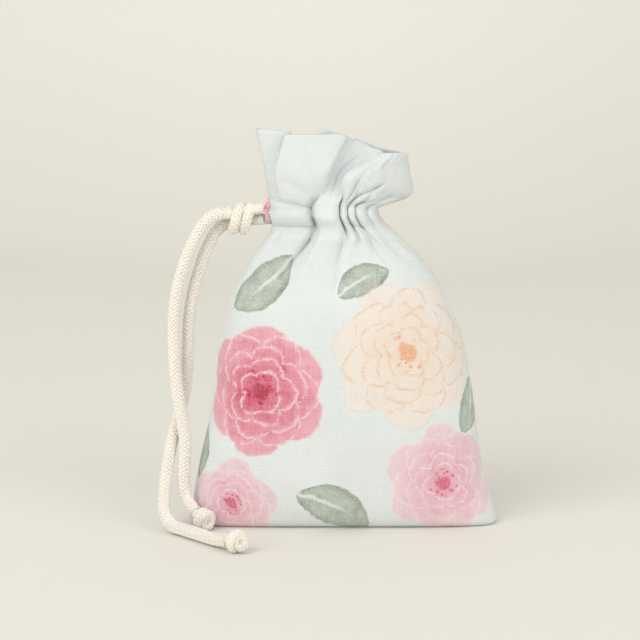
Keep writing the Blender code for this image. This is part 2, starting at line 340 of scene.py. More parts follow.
        heart = graph.between(reach, heart_edge, graph.math("SUBTRACT", heart_edge, 0.05))
        spots = graph.node("ShaderNodeTexVoronoi", {"Vector": seeded, "Scale": 12.0})
        dot = graph.between(spots.outputs["Distance"], 0.36, 0.24)
        belt = graph.math("MULTIPLY", graph.between(reach, 0.30, 0.20), graph.between(reach, 0.08, 0.12))
        mask = graph.math("MAXIMUM", heart, graph.math("MULTIPLY", dot, belt))
        mask = graph.math("MULTIPLY", mask, graph.math("MULTIPLY_ADD", speckle, 1.2, 0.82, clamp=True))
        colour = graph.mix(mask, colour, value["Heart"])
        graph.feed(end.inputs["Colour"], colour)
        return graph.tree

    @staticmethod
    def build_leaf() -> bpy.types.NodeTree:
        """A brushed leaf, pointed at both ends, with a pale midrib and dry brush marks."""
        graph, start, end = open_group(
            "leaf",
            {"Cloth": (VECTOR, None), "Centre": (VECTOR, None), "Length": (FLOAT, 12.0 * MM),
             "Turn": (FLOAT, 0.0), "Ground": (COLOUR, None), "Pale": (COLOUR, None), "Deep": (COLOUR, None)},
            {"Colour": COLOUR},
        )
        value = start.outputs
        offset = graph.vector_math("SUBTRACT", value["Cloth"], value["Centre"])
        turned = graph.node("ShaderNodeVectorRotate", {"Vector": offset, "Angle": value["Turn"]},
                            rotation_type="Z_AXIS")
        near = graph.vector_math("SCALE", turned.outputs[0], scale=graph.math("DIVIDE", 1.0, value["Length"]))
        wobble = graph.noise(near, 3.2, 3.0, 0.6)
        shift = graph.vector_math("SCALE", graph.vector_math(
            "SUBTRACT", wobble.outputs[1], (0.5, 0.5, 0.5)), scale=0.18)
        flat = graph.node("ShaderNodeSeparateXYZ", {0: graph.vector_math("ADD", near, shift)})
        along = graph.math("MULTIPLY", flat.outputs[0], flat.outputs[0])
        half = graph.math("MULTIPLY", graph.math(
            "POWER", graph.math("SUBTRACT", 1.0, along, clamp=True), 0.7), 0.56)
        bend = graph.math("MULTIPLY_ADD", along, 0.16, flat.outputs[1])
        away = graph.math("ABSOLUTE", bend)
        inside = graph.between(away, half, graph.math("SUBTRACT", half, 0.05))
        rib = graph.between(away, 0.075, 0.02)
        rib = graph.math("MULTIPLY", rib, graph.between(flat.outputs[0], 0.55, -0.1))
        wash = graph.noise(offset, 190.0, 4.0, 0.6)
        grain = graph.noise(offset, 1500.0, 2.0, 0.7)
        speckle = graph.math("SUBTRACT", grain.outputs[0], 0.5)
        rim = graph.between(away, graph.math("SUBTRACT", half, 0.26), half)
        pigment = graph.math("MULTIPLY_ADD", wash.outputs[0], 1.5, -0.52)
        pigment = graph.math("MULTIPLY_ADD", rim, 0.42, pigment)
        pigment = graph.math("MULTIPLY_ADD", speckle, 0.9, pigment, clamp=True)
        tint = graph.mix(pigment, value["Pale"], value["Deep"])
        tint = graph.mix(graph.math("MULTIPLY", rib, 0.85), tint, value["Ground"])
        cover = graph.math("MULTIPLY_ADD", speckle, 0.8, 0.90, clamp=True)
        inside = graph.math("MULTIPLY", inside, cover)
        graph.feed(end.inputs["Colour"], graph.mix(inside, value["Ground"], tint))
        return graph.tree


@dataclass(frozen=True)
class Paint:
    """The colours of one kind of blossom."""

    pale: tuple[float, float, float]
    deep: tuple[float, float, float]
    line: tuple[float, float, float]
    heart: tuple[float, float, float]
    line_share: float


class Palette(Enum):
    """The kinds of blossom in the print."""

    PEACH = Paint((0.905, 0.835, 0.775), (0.885, 0.735, 0.63), (0.85, 0.50, 0.27), (0.87, 0.42, 0.20), 0.62)
    ROSE = Paint((0.86, 0.40, 0.49), (0.64, 0.045, 0.115), (0.93, 0.70, 0.75), (0.46, 0.02, 0.07), 1.0)
    BLUSH = Paint((0.89, 0.67, 0.72), (0.82, 0.36, 0.47), (0.93, 0.84, 0.86), (0.70, 0.10, 0.22), 0.80)


@dataclass(frozen=True)
class Blossom:
    """One printed blossom: its centre, radius, petals in a ring, turn and kind, in mm and radians."""

    centre: tuple[float, float]
    radius: float
    petals: int
    turn: float
    palette: Palette


@dataclass(frozen=True)
class Leaf:
    """One printed leaf: its centre, half length and turn, in mm and radians."""

    centre: tuple[float, float]
    radius: float
    turn: float


@dataclass(frozen=True)
class Print:
    """The blossoms and leaves printed on one panel."""

    blossoms: tuple
    leaves: tuple


FRONT_PRINT = Print(
    blossoms=(
        Blossom((21.0, 22.0), 18.0, 5, 0.4, Palette.BLUSH),
        Blossom((99.0, 31.0), 23.0, 6, 2.0, Palette.BLUSH),
        Blossom((85.0, 79.0), 29.0, 7, 0.2, Palette.PEACH),
        Blossom((31.0, 65.0), 26.0, 6, 1.1, Palette.ROSE),
        Blossom((10.0, 176.0), 7.0, 5, 0.7, Palette.ROSE),
    ),
    leaves=(
        Leaf((31.0, 104.0), 15.0, 2.3),
        Leaf((59.0, 22.0), 15.0, 0.5),
        Leaf((68.0, 107.0), 11.0, -0.5),
        Leaf((3.0, 42.0), 12.0, 1.2),
        Leaf((112.0, 58.0), 11.0, 1.9),
    ),
)
BACK_PRINT = Print(
    blossoms=(
        Blossom((30.0, 72.0), 27.0, 7, 0.9, Palette.PEACH),
        Blossom((86.0, 62.0), 26.0, 6, 0.3, Palette.ROSE),
        Blossom((44.0, 24.0), 21.0, 6, 2.4, Palette.BLUSH),
        Blossom((106.0, 20.0), 17.0, 5, 0.5, Palette.PEACH),
        Blossom((53.0, 173.0), 8.0, 5, 0.5, Palette.BLUSH),
        Blossom((75.0, 175.0), 5.0, 5, 1.5, Palette.ROSE),
        Blossom((20.0, 152.0), 10.0, 5, 1.0, Palette.BLUSH),
    ),
    leaves=(
        Leaf((60.0, 100.0), 15.0, 2.2),
        Leaf((92.0, 101.0), 12.0, 0.7),
        Leaf((72.0, 22.0), 12.0, -0.9),
        Leaf((6.0, 40.0), 13.0, -0.4),
        Leaf((65.0, 172.0), 7.0, 0.3),
        Leaf((84.0, 173.0), 6.0, -0.3),
        Leaf((93.0, 172.0), 5.0, 0.5),
    ),
)


@dataclass(frozen=True)
class PrintedCloth:
    """Pale blue plain-weave cotton and linen with a watercolour print of blossoms and leaves."""

    name: str
    design: Print
    ground: tuple[float, float, float] = (0.795, 0.842, 0.850)
    leaf_pale: tuple[float, float, float] = (0.56, 0.63, 0.55)
    leaf_deep: tuple[float, float, float] = (0.17, 0.24, 0.17)
    thread: float = 0.52 * MM
    roughness: float = 0.92
    sheen: float = 0.25

    def build(self, effects: SharedEffects) -> bpy.types.Material:
        """Makes the material from the shared effects."""
        finish = bpy.data.materials.new(self.name)
        finish.use_nodes = True
        graph = Graph(finish.node_tree)
        shader = finish.node_tree.nodes["Principled BSDF"]
        cloth = graph.node("ShaderNodeUVMap", uv_map="cloth").outputs[0]
        wash = graph.noise(cloth, 22.0, 3.0, 0.55)
        light = tuple(min(1.0, channel * 1.05 + 0.015) for channel in self.ground)
        colour = graph.mix(graph.between(wash.outputs[0], 0.35, 0.7), (*self.ground, 1.0), (*light, 1.0))
        colour = self.print_leaves(graph, effects, cloth, colour)
        colour = self.print_blossoms(graph, effects, cloth, colour)
        weave = graph.node("ShaderNodeGroup", node_tree=effects.weave)
        graph.feed(weave.inputs["Cloth"], cloth)
        graph.feed(weave.inputs["Thread"], self.thread)
        graph.feed(weave.inputs["Slub"], 0.30)
        white = graph.mix(graph.math("MULTIPLY", weave.outputs["Shade"], 1.6, clamp=True), colour,
                          (0.93, 0.94, 0.94, 1.0))
        shadow = graph.math("MULTIPLY", weave.outputs["Shade"], -1.1, clamp=True)
        dark = graph.mix(1.0, white, (0.66, 0.74, 0.78, 1.0), "MULTIPLY")
        graph.feed(shader.inputs["Base Color"], graph.mix(shadow, white, dark))
        bump = graph.node("ShaderNodeBump", {"Strength": 0.6, "Distance": 0.12 * MM,
                                             "Height": weave.outputs["Height"]})
        graph.feed(shader.inputs["Normal"], bump.outputs[0])
        shader.inputs["Roughness"].default_value = self.roughness
        shader.inputs["Sheen Weight"].default_value = self.sheen
        shader.inputs["Sheen Roughness"].default_value = 0.6
        shader.inputs["Specular IOR Level"].default_value = 0.25
        return finish

    @staticmethod
    def nearest(graph: Graph, cloth, motifs: tuple, describe) -> tuple:
        """Picks, at every point of the cloth, the motif that the point lies closest to.

        Args:
            graph: The material's graph.
            cloth: Place on the flat cloth.
            motifs: Motifs with a centre and a radius.
            describe: Gives a motif's three further numbers.

        Returns:
            Sockets with the motif's centre, and with its three numbers.
        """
        best, centre, shape = 1000.0, (0.0, 0.0, 0.0), (1.0, 0.0, 0.0)
        for motif in motifs:
            middle = (motif.centre[0] * MM, motif.centre[1] * MM, 0.0)
            away = graph.node("ShaderNodeVectorMath", {0: cloth, 1: middle}, operation="DISTANCE")
            gap = graph.math("DIVIDE", away.outputs["Value"], motif.radius * MM)
            closer = graph.math("LESS_THAN", gap, best)
            picked = []
            for before, now in ((centre, middle), (shape, describe(motif))):
                choice = graph.node("ShaderNodeMix", data_type="VECTOR")
                graph.feed(choice.inputs[0], closer)
                graph.feed(choice.inputs[4], before)
                graph.feed(choice.inputs[5], now)
                picked.append(choice.outputs[1])
            centre, shape = picked
            best = graph.math("MINIMUM", gap, best)
        return centre, shape

    def print_blossoms(self, graph: Graph, effects: SharedEffects, cloth, ground):
        """Prints the nearest blossom over the ground colour."""
        kinds = list(Palette)
        centre, shape = self.nearest(
            graph, cloth, self.design.blossoms,
            lambda motif: (motif.radius * MM, motif.turn, motif.petals + 10.0 * kinds.index(motif.palette)))
        parts = graph.node("ShaderNodeSeparateXYZ", {0: shape})
        kind = graph.math("FLOOR", graph.math("DIVIDE", parts.outputs[2], 10.0))
        group = graph.node("ShaderNodeGroup", node_tree=effects.blossom)
        graph.feed(group.inputs["Cloth"], cloth)
        graph.feed(group.inputs["Centre"], centre)
        graph.feed(group.inputs["Radius"], parts.outputs[0])
        graph.feed(group.inputs["Turn"], parts.outputs[1])
        graph.feed(group.inputs["Petals"], graph.math("MODULO", parts.outputs[2], 10.0))
        graph.feed(group.inputs["Ground"], ground)
        masks = [graph.math("COMPARE", kind, float(index), 0.5) for index in range(1, len(kinds))]
        for label in ("pale", "deep", "line", "heart"):
            colour = (*getattr(kinds[0].value, label), 1.0)
            for mask, palette in zip(masks, kinds[1:]):
                colour = graph.mix(mask, colour, (*getattr(palette.value, label), 1.0))
            graph.feed(group.inputs[label.title()], colour)
        share = kinds[0].value.line_share
        for mask, palette in zip(masks, kinds[1:]):
            share = graph.math("MULTIPLY_ADD", mask, palette.value.line_share - kinds[0].value.line_share, share)
        graph.feed(group.inputs["Line Share"], share)
        return group.outputs["Colour"]

    def print_leaves(self, graph: Graph, effects: SharedEffects, cloth, ground):
        """Prints the nearest leaf over the ground colour."""
        centre, shape = self.nearest(graph, cloth, self.design.leaves,
                                     lambda motif: (motif.radius * MM, motif.turn, 0.0))
        parts = graph.node("ShaderNodeSeparateXYZ", {0: shape})
        group = graph.node("ShaderNodeGroup", node_tree=effects.leaf)
        graph.feed(group.inputs["Cloth"], cloth)
        graph.feed(group.inputs["Centre"], centre)
        graph.feed(group.inputs["Length"], parts.outputs[0])
        graph.feed(group.inputs["Turn"], parts.outputs[1])
        graph.feed(group.inputs["Ground"], ground)
        group.inputs["Pale"].default_value = (*self.leaf_pale, 1.0)
        group.inputs["Deep"].default_value = (*self.leaf_deep, 1.0)
        return group.outputs["Colour"]


@dataclass(frozen=True)
class CottonYarn:
    """Natural off-white cotton yarn, with painted shade, darker and warmer, between its strands."""

    name: str = "natural_cotton_yarn"
    light: tuple[float, float, float] = (0.93, 0.895, 0.835)
    # Colour of the painted shade between the strands.
    dark: tuple[float, float, float] = (0.78, 0.70, 0.585)
    roughness: float = 0.95

    def build(self, effects: SharedEffects) -> bpy.types.Material:
        """Makes the material; the attribute says how far a point stands out of the cord and sets its painted
        shade.
        """
        finish = bpy.data.materials.new(self.name)
        finish.use_nodes = True
        graph = Graph(finish.node_tree)
        shader = finish.node_tree.nodes["Principled BSDF"]
        place = graph.node("ShaderNodeTexCoord").outputs["Object"]
        fibre = graph.node("ShaderNodeGroup", node_tree=effects.fibre)
        graph.feed(fibre.inputs["Place"], place)
        graph.feed(fibre.inputs["Size"], 0.22 * MM)
        # Painted shade and highlight: points low in the braid take the dark colour, points that stand out take
        # the light one.
        depth = graph.node("ShaderNodeAttribute", attribute_name="stand_out").outputs["Fac"]
        lit = graph.math("MULTIPLY_ADD", fibre.outputs["Shade"], 0.7, depth, clamp=True)
        colour = graph.mix(lit, (*self.dark, 1.0), (*self.light, 1.0))
        graph.feed(shader.inputs["Base Color"], colour)
        bump = graph.node("ShaderNodeBump", {"Strength": 0.5, "Distance": 0.08 * MM,
                                             "Height": fibre.outputs["Height"]})
        graph.feed(shader.inputs["Normal"], bump.outputs[0])
        shader.inputs["Roughness"].default_value = self.roughness
        shader.inputs["Sheen Weight"].default_value = 0.35
        shader.inputs["Sheen Roughness"].default_value = 0.5
        shader.inputs["Specular IOR Level"].default_value = 0.2
        return finish


@dataclass(frozen=True)
class SewingThread:
    """Fine white polyester sewing thread."""

    name: str = "white_sewing_thread"
    colour: tuple[float, float, float] = (0.86, 0.88, 0.88)

    def build(self, effects: SharedEffects) -> bpy.types.Material:
        """Makes the material from the shared fibre effect."""
        finish = bpy.data.materials.new(self.name)
        finish.use_nodes = True
        graph = Graph(finish.node_tree)
        shader = finish.node_tree.nodes["Principled BSDF"]
        fibre = graph.node("ShaderNodeGroup", node_tree=effects.fibre)
        graph.feed(fibre.inputs["Place"], graph.node("ShaderNodeTexCoord").outputs["Object"])
        graph.feed(fibre.inputs["Size"], 0.10 * MM)
        worn = tuple(channel * 0.8 for channel in self.colour)
        shade = graph.math("ADD", fibre.outputs["Shade"], 0.6, clamp=True)
        graph.feed(shader.inputs["Base Color"], graph.mix(shade, (*worn, 1.0), (*self.colour, 1.0)))
        shader.inputs["Roughness"].default_value = 0.6
        return finish


@dataclass(frozen=True)
class StudioPaper:
    """Matt seamless paper under and behind the pouch, with painted shade: the floor is coloured darker than the
    wall.
    """

    name: str = "warm_white_paper"
    # Floor colour, a painted shade of the wall colour.
    floor: tuple[float, float, float] = (0.84, 0.822, 0.765)
    wall: tuple[float, float, float] = (0.90, 0.88, 0.825)

    def build(self) -> bpy.types.Material:
        """Makes the material."""
        finish = bpy.data.materials.new(self.name)
        finish.use_nodes = True
        graph = Graph(finish.node_tree)
        shader = finish.node_tree.nodes["Principled BSDF"]
        place = graph.node("ShaderNodeTexCoord").outputs["Object"]
        tooth = graph.noise(place, 9.0, 2.0, 0.5)
        height = graph.node("ShaderNodeSeparateXYZ", {0: place}).outputs[2]
        # Painted shade: the colour shifts from the darker floor tone to the lighter wall tone over the first
        # 0.25 m of height.
        rise = graph.between(graph.math("MULTIPLY_ADD", tooth.outputs[0], 0.01, height), 0.0, 0.25)
        graph.feed(shader.inputs["Base Color"], graph.mix(rise, (*self.floor, 1.0), (*self.wall, 1.0)))
        shader.inputs["Roughness"].default_value = 0.85
        shader.inputs["Specular IOR Level"].default_value = 0.1
        return finish


# ---------------------------------------------------------------------------------------------
# Geometry node trees
# ---------------------------------------------------------------------------------------------


class GeometryTree:
    """A geometry node tree with named inputs, used through a short-lived modifier."""

    def __init__(self, name: str, sizes: dict) -> None:
        """Opens the tree and its sockets.

        Args:
            name: The tree's name.
            sizes: Default value by input name; whole numbers make integer sockets.
        """
        self.tree = bpy.data.node_groups.new(name, "GeometryNodeTree")
        face = self.tree.interface
        face.new_socket("Geometry", in_out="INPUT", socket_type="NodeSocketGeometry")
        for label, value in sizes.items():
            kind = "NodeSocketInt" if isinstance(value, int) else FLOAT
            face.new_socket(label, in_out="INPUT", socket_type=kind).default_value = value
        face.new_socket("Material", in_out="INPUT", socket_type="NodeSocketMaterial")
        face.new_socket("Geometry", in_out="OUTPUT", socket_type="NodeSocketGeometry")
        self.graph = Graph(self.tree)
        self.start = self.graph.node("NodeGroupInput").outputs
        self.end = self.graph.node("NodeGroupOutput")

    def close(self, geometry) -> None:
        """Realises instances, sets the material and ends the tree."""
        real = self.graph.node("GeometryNodeRealizeInstances", {"Geometry": geometry})
        finish = self.graph.node("GeometryNodeSetMaterial", {
            "Geometry": real.outputs[0], "Material": self.start["Material"]})
        self.graph.feed(self.end.inputs[0], finish.outputs[0])

    def grow(self, name: str, chains: list, finish: bpy.types.Material, **sizes) -> bpy.types.Object:
        """Runs the tree along lines of points and keeps the result as a plain mesh.

        Args:
            name: Name of the finished piece.
            chains: Lines of points that the piece follows.
            finish: Material of the piece.
            **sizes: Input values, by the input's name with _ for a space.

        Returns:
            The finished piece.
        """
        guide = polyline_object(name + "_guide", chains)
        modifier = guide.modifiers.new("grow", "NODES")
        modifier.node_group = self.tree
        wanted = {key.replace("_", " "): value for key, value in sizes.items()}
        wanted["Material"] = finish
        for item in self.tree.interface.items_tree:
            if item.item_type == "SOCKET" and item.in_out == "INPUT" and item.name in wanted:
                modifier[item.identifier] = wanted[item.name]
        bpy.context.view_layer.update()
        evaluated = guide.evaluated_get(bpy.context.evaluated_depsgraph_get())
        mesh = bpy.data.meshes.new_from_object(evaluated)
        mesh.name = name
        guide.modifiers.clear()
        old = guide.data
        bpy.data.objects.remove(guide)
        bpy.data.meshes.remove(old)
        return add_object(name, mesh)


def build_braid_tree() -> GeometryTree:
    """Round braid: strands wind both ways round the path, over two and under two."""
    tree = GeometryTree("round_braid", {
        "Braid Radius": 2.0 * MM, "Strand Radius": 0.6 * MM, "Strands": 8, "Turn Length": 10.0 * MM,
        "Lift": 0.3 * MM, "Step": 0.6 * MM, "Flare": 0.0})
    graph, start = tree.graph, tree.start
    curve = graph.node("GeometryNodeMeshToCurve", {0: start["Geometry"]}).outputs[0]
    even = graph.node("GeometryNodeResampleCurve", {"Curve": curve, "Length": start["Step"]}, mode="LENGTH")
    level = graph.node("GeometryNodeSetCurveNormal", {"Curve": even.outputs[0]}, mode="MINIMUM_TWIST")
    normal = graph.node("GeometryNodeInputNormal").outputs[0]
    tangent = graph.node("GeometryNodeInputTangent").outputs[0]
    side = graph.vector_math("CROSS_PRODUCT", tangent, normal)
    run = graph.node("GeometryNodeSplineParameter").outputs["Length"]
    geometry = level.outputs[0]
    for label, kind, value in (("run", "FLOAT", run), ("out_a", "FLOAT_VECTOR", normal),
                               ("out_b", "FLOAT_VECTOR", side)):
        store = graph.node("GeometryNodeStoreNamedAttribute", data_type=kind, domain="POINT")
        graph.feed(store.inputs["Geometry"], geometry)
        graph.feed(store.inputs["Name"], label)
        graph.feed(store.inputs["Value"], value)
        geometry = store.outputs[0]

    def read(label: str, kind: str):
        """Reads a stored attribute."""
        source = graph.node("GeometryNodeInputNamedAttribute", data_type=kind)
        source.inputs["Name"].default_value = label
        return source.outputs[0]

    doubled = graph.math("MULTIPLY", start["Strands"], 2.0)
    copies = graph.node("GeometryNodeDuplicateElements", {"Geometry": geometry, "Amount": doubled},
                        domain="SPLINE")
    index = copies.outputs["Duplicate Index"]
    hand = graph.math("SUBTRACT", 1.0, graph.math("MULTIPLY", graph.math("MODULO", index, 2.0), 2.0))
    number = graph.math("FLOOR", graph.math("DIVIDE", index, 2.0))
    turns = graph.math("DIVIDE", read("run", "FLOAT"), start["Turn Length"])
    spread = graph.math("DIVIDE", number, start["Strands"])
    angle = graph.math("MULTIPLY_ADD", hand, turns, spread)
    angle = graph.math("MULTIPLY", angle, 2.0 * math.pi)
    crossing = graph.math("MULTIPLY", graph.math("MULTIPLY", turns, start["Strands"]), 2.0)
    beat = graph.math("MULTIPLY_ADD", hand, crossing, graph.math("MULTIPLY", number, 2.0))
    beat = graph.math("MULTIPLY_ADD", beat, 0.5 * math.pi, -0.25 * math.pi)
    rise = graph.math("MULTIPLY", graph.math("COSINE", beat), hand)
    radius = graph.math("MULTIPLY_ADD", rise, start["Lift"], start["Braid Radius"])
    first = graph.vector_math("SCALE", read("out_a", "FLOAT_VECTOR"), scale=graph.math("COSINE", angle))
    second = graph.vector_math("SCALE", read("out_b", "FLOAT_VECTOR"), scale=graph.math("SINE", angle))
    outward = graph.vector_math("ADD", first, second)
    moved = graph.node("GeometryNodeSetPosition", {
        "Geometry": copies.outputs["Geometry"], "Offset": graph.vector_math("SCALE", outward, scale=radius)})
    # Painted shade and highlight: each strand point stores how far it stands out, which the yarn material turns
    # into lighter crests and darker dips.
    shine = graph.node("GeometryNodeStoreNamedAttribute", data_type="FLOAT", domain="POINT")
    graph.feed(shine.inputs["Geometry"], moved.outputs[0])
    graph.feed(shine.inputs["Name"], "stand_out")
    graph.feed(shine.inputs["Value"], graph.math("MULTIPLY_ADD", rise, 0.32, 0.62))
    yarn = graph.node("GeometryNodeCurvePrimitiveCircle", {"Resolution": 5, "Radius": start["Strand Radius"]})
    strands = graph.node("GeometryNodeCurveToMesh", {
        "Curve": shine.outputs[0], "Profile Curve": yarn.outputs[0], "Fill Caps": True})
    # The core carries no stand_out value, so the yarn material gives it the dark colour: a painted shade seen
    # between the strands.
    core_ring = graph.node("GeometryNodeCurvePrimitiveCircle", {
        "Resolution": 10, "Radius": graph.math("SUBTRACT", start["Braid Radius"], start["Lift"])})
    core = graph.node("GeometryNodeCurveToMesh", {
        "Curve": level.outputs[0], "Profile Curve": core_ring.outputs[0], "Fill Caps": True})
    joined = graph.node("GeometryNodeJoinGeometry")
    graph.feed(joined.inputs[0], strands.outputs[0])
    graph.feed(joined.inputs[0], core.outputs[0])
    smooth = graph.node("GeometryNodeSetShadeSmooth", {"Geometry": joined.outputs[0]})
    tree.close(smooth.outputs[0])
    return tree


def build_stitch_tree() -> GeometryTree:
    """Running stitches: short rounded threads laid end to end along a seam."""
    tree = GeometryTree("running_stitch", {
        "Pitch": 2.4 * MM, "Stitch Length": 1.7 * MM, "Thread Radius": 0.14 * MM})
    graph, start = tree.graph, tree.start
    curve = graph.node("GeometryNodeMeshToCurve", {0: start["Geometry"]}).outputs[0]
    even = graph.node("GeometryNodeResampleCurve", {"Curve": curve, "Length": start["Pitch"]}, mode="LENGTH")
    tangent = graph.node("GeometryNodeInputTangent").outputs[0]
    turn = graph.node("FunctionNodeAlignRotationToVector", {"Vector": tangent}, axis="Z")
    bead = graph.node("GeometryNodeMeshUVSphere", {"Segments": 6, "Rings": 5, "Radius": 0.5})
    size = graph.node("ShaderNodeCombineXYZ", {
        0: graph.math("MULTIPLY", start["Thread Radius"], 2.0),
        1: graph.math("MULTIPLY", start["Thread Radius"], 2.0), 2: start["Stitch Length"]})
    stitches = graph.node("GeometryNodeInstanceOnPoints", {
        "Points": even.outputs[0], "Instance": bead.outputs[0], "Rotation": turn.outputs[0],
        "Scale": size.outputs[0]})
    smooth = graph.node("GeometryNodeSetShadeSmooth", {"Geometry": stitches.outputs[0]})
    tree.close(smooth.outputs[0])
    return tree


# ---------------------------------------------------------------------------------------------
# Cloth
# ---------------------------------------------------------------------------------------------


class Side(Enum):
    """The two panels, by the sign of Y on their side of the pouch."""

    FRONT = -1
    BACK = 1


@dataclass(frozen=True)
class Level:
    """A level section of the body: its height, ends, half depth, squareness and share of the folds."""

    height: float
    left: float
    right: float
    depth: float
    power: float
    folds: float

    def ring(self, side: Side, shares: np.ndarray) -> np.ndarray:
        """Points of the section from the left seam to the right seam.

        Args:
            side: Front or back half.
            shares: Shares of the section's length, 0 to 1.

        Returns:
            Points in metres.
        """
        angle = np.linspace(0.0, math.pi, 400)
        along = -np.sign(np.cos(angle)) * np.abs(np.cos(angle)) ** (2.0 / self.power)
        out = np.abs(np.sin(angle)) ** (2.0 / self.power)
        x = 0.5 * (self.left + self.right) + 0.5 * (self.right - self.left) * along
        y = side.value * np.maximum(self.depth * out, 0.24)
        steps = np.hypot(np.diff(x), np.diff(y))
        run = np.concatenate([[0.0], np.cumsum(steps)]) / steps.sum()
        return np.stack([np.interp(shares, run, x), np.interp(shares, run, y),
                         np.full(len(shares), self.height)], axis=1) * MM


BODY = (
    Level(0.3, -56.0, 56.2, 12.2, 5.0, 0.0),
    Level(1.6, -56.7, 57.2, 14.6, 4.0, 0.0),
    Level(5.0, -56.2, 56.4, 17.0, 3.2, 0.0),
    Level(12.0, -55.0, 54.2, 19.2, 2.8, 0.0),
    Level(24.0, -52.8, 51.4, 21.0, 2.6, 0.0),
    Level(38.0, -49.6, 49.4, 22.2, 2.5, 0.0),
    Level(54.0, -47.2, 47.0, 22.4, 2.5, 0.02),
    Level(70.0, -44.9, 43.8, 21.2, 2.4, 0.09),
    Level(82.0, -41.8, 39.0, 19.2, 2.4, 0.24),
    Level(91.0, -37.8, 34.6, 16.8, 2.4, 0.42),
    Level(99.0, -33.4, 28.4, 14.2, 2.4, 0.62),
    Level(104.0, -29.6, 23.4, 12.4, 2.4, 0.78),
    Level(107.5, -27.2, 19.8, 11.6, 2.4, 0.92),
    Level(110.4, -26.1, 16.4, 8.9, 2.4, 0.96),
)
NECK_RING = Level(115.0, -26.9, 12.7, 9.9, 2.4, 1.0)

FRONT_CASING = (
    (0.00, -25.8, -5.4), (0.03, -26.4, -6.2), (0.08, -25.2, -8.4), (0.15, -21.4, -10.8),
    (0.22, -16.6, -11.6), (0.275, -13.4, -10.6), (0.305, -12.2, -8.8), (0.330, -11.3, -7.7),
    (0.352, -10.4, -8.8), (0.375, -9.8, -11.4), (0.405, -8.6, -12.8), (0.45, -5.8, -13.3),
    (0.50, -3.2, -12.9), (0.535, -1.9, -11.2), (0.560, -1.3, -8.4), (0.585, -0.8, -10.6),
    (0.61, 0.2, -12.0), (0.635, 1.2, -10.6), (0.655, 1.7, -8.2), (0.68, 2.1, -10.2),
    (0.705, 3.1, -11.4), (0.73, 4.1, -9.9), (0.75, 4.5, -7.9), (0.775, 5.0, -9.4),
    (0.81, 6.4, -10.5), (0.845, 7.8, -9.4), (0.87, 8.6, -7.4), (0.90, 9.6, -7.9),
    (0.935, 11.2, -6.9), (0.97, 12.4, -3.6), (1.00, 12.7, -0.3),
)
FRONT_MIDDLE = (
    (0.00, -28.6, -0.3, 131.5), (0.05, -26.0, -2.4, 131.5), (0.09, -23.0, -3.8, 131.4),
    (0.108, -21.8, -3.8, 131.3), (0.122, -24.2, -7.6, 131.2), (0.18, -18.6, -10.6, 131.2),
    (0.26, -11.6, -12.2, 131.2), (0.325, -6.2, -12.6, 131.2), (0.345, -5.2, -11.6, 131.2),
    (0.365, -5.6, -9.0, 131.2), (0.385, -4.8, -7.2, 131.2), (0.43, -2.2, -6.2, 131.1),
    (0.48, 0.6, -5.8, 130.9), (0.505, 1.6, -6.6, 130.6), (0.525, 1.2, -9.4, 130.3),
    (0.545, 0.8, -11.8, 130.0), (0.57, 2.0, -13.4, 129.8), (0.64, 6.6, -13.6, 129.4),
    (0.72, 11.8, -12.4, 128.6), (0.80, 16.6, -10.6, 127.4), (0.88, 20.8, -8.0, 125.8),
    (0.95, 24.0, -4.4, 124.2), (1.00, 25.5, -0.3, 123.2),
)
FRONT_TOP = (
    (0.00, -31.5, -0.3, 145.5), (0.05, -27.4, -1.8, 145.3), (0.09, -22.6, -2.8, 144.8),
    (0.108, -20.0, -2.8, 144.5), (0.122, -21.2, -5.6, 144.0), (0.18, -15.4, -8.0, 143.8),
    (0.26, -7.2, -9.6, 143.9), (0.325, -1.0, -9.8, 143.8), (0.345, 0.9, -8.8, 143.4),
    (0.365, 1.8, -6.6, 143.0), (0.385, 3.2, -4.8, 142.2), (0.43, 7.4, -2.6, 140.4),
    (0.48, 11.4, -1.2, 138.4), (0.505, 13.2, -1.4, 137.8), (0.525, 13.6, -3.4, 137.4),
    (0.545, 13.2, -5.8, 137.2), (0.57, 14.0, -8.0, 137.2), (0.64, 16.6, -10.2, 137.2),
    (0.72, 18.8, -10.0, 137.1), (0.80, 20.6, -8.6, 137.0), (0.88, 22.2, -6.2, 136.8),
    (0.95, 23.2, -3.2, 136.6), (1.00, 23.5, -0.3, 136.5),
)
BACK_CASING = (
    (0.00, -25.8, 5.4), (0.04, -26.2, 6.6), (0.09, -24.4, 8.8), (0.14, -21.0, 10.6),
    (0.18, -18.0, 10.8), (0.21, -16.4, 8.2), (0.24, -15.0, 9.8), (0.29, -12.0, 12.4),
    (0.34, -9.4, 12.2), (0.37, -8.4, 8.4), (0.40, -7.4, 11.0), (0.44, -5.0, 12.8),
    (0.49, -2.6, 12.0), (0.52, -1.8, 8.6), (0.55, -0.8, 11.0), (0.60, 1.4, 12.4),
    (0.65, 3.4, 11.0), (0.68, 4.2, 8.2), (0.71, 5.0, 10.0), (0.77, 7.4, 11.0),
    (0.83, 9.4, 9.4), (0.86, 10.0, 7.4), (0.90, 11.4, 7.4), (0.95, 12.9, 4.6), (1.00, 12.7, 0.3),
)
BACK_MIDDLE = (
    (0.00, -28.6, 0.3, 131.5), (0.06, -27.2, 3.6, 131.4), (0.13, -22.6, 7.6, 131.0),
    (0.19, -18.6, 8.2, 130.8), (0.23, -17.2, 5.2, 130.8), (0.28, -12.8, 8.4, 131.0),
    (0.34, -8.0, 11.4, 131.4), (0.40, -4.4, 10.4, 131.4), (0.45, -2.6, 6.6, 131.2),
    (0.50, 0.6, 7.8, 130.9), (0.57, 4.6, 11.6, 130.3), (0.63, 8.0, 10.6, 129.6),
    (0.68, 9.4, 7.2, 129.2), (0.75, 14.0, 9.6, 128.0), (0.82, 18.4, 9.4, 126.6),
    (0.90, 22.6, 6.2, 124.9), (0.96, 25.2, 2.8, 123.7), (1.00, 25.5, 0.3, 123.2),
)
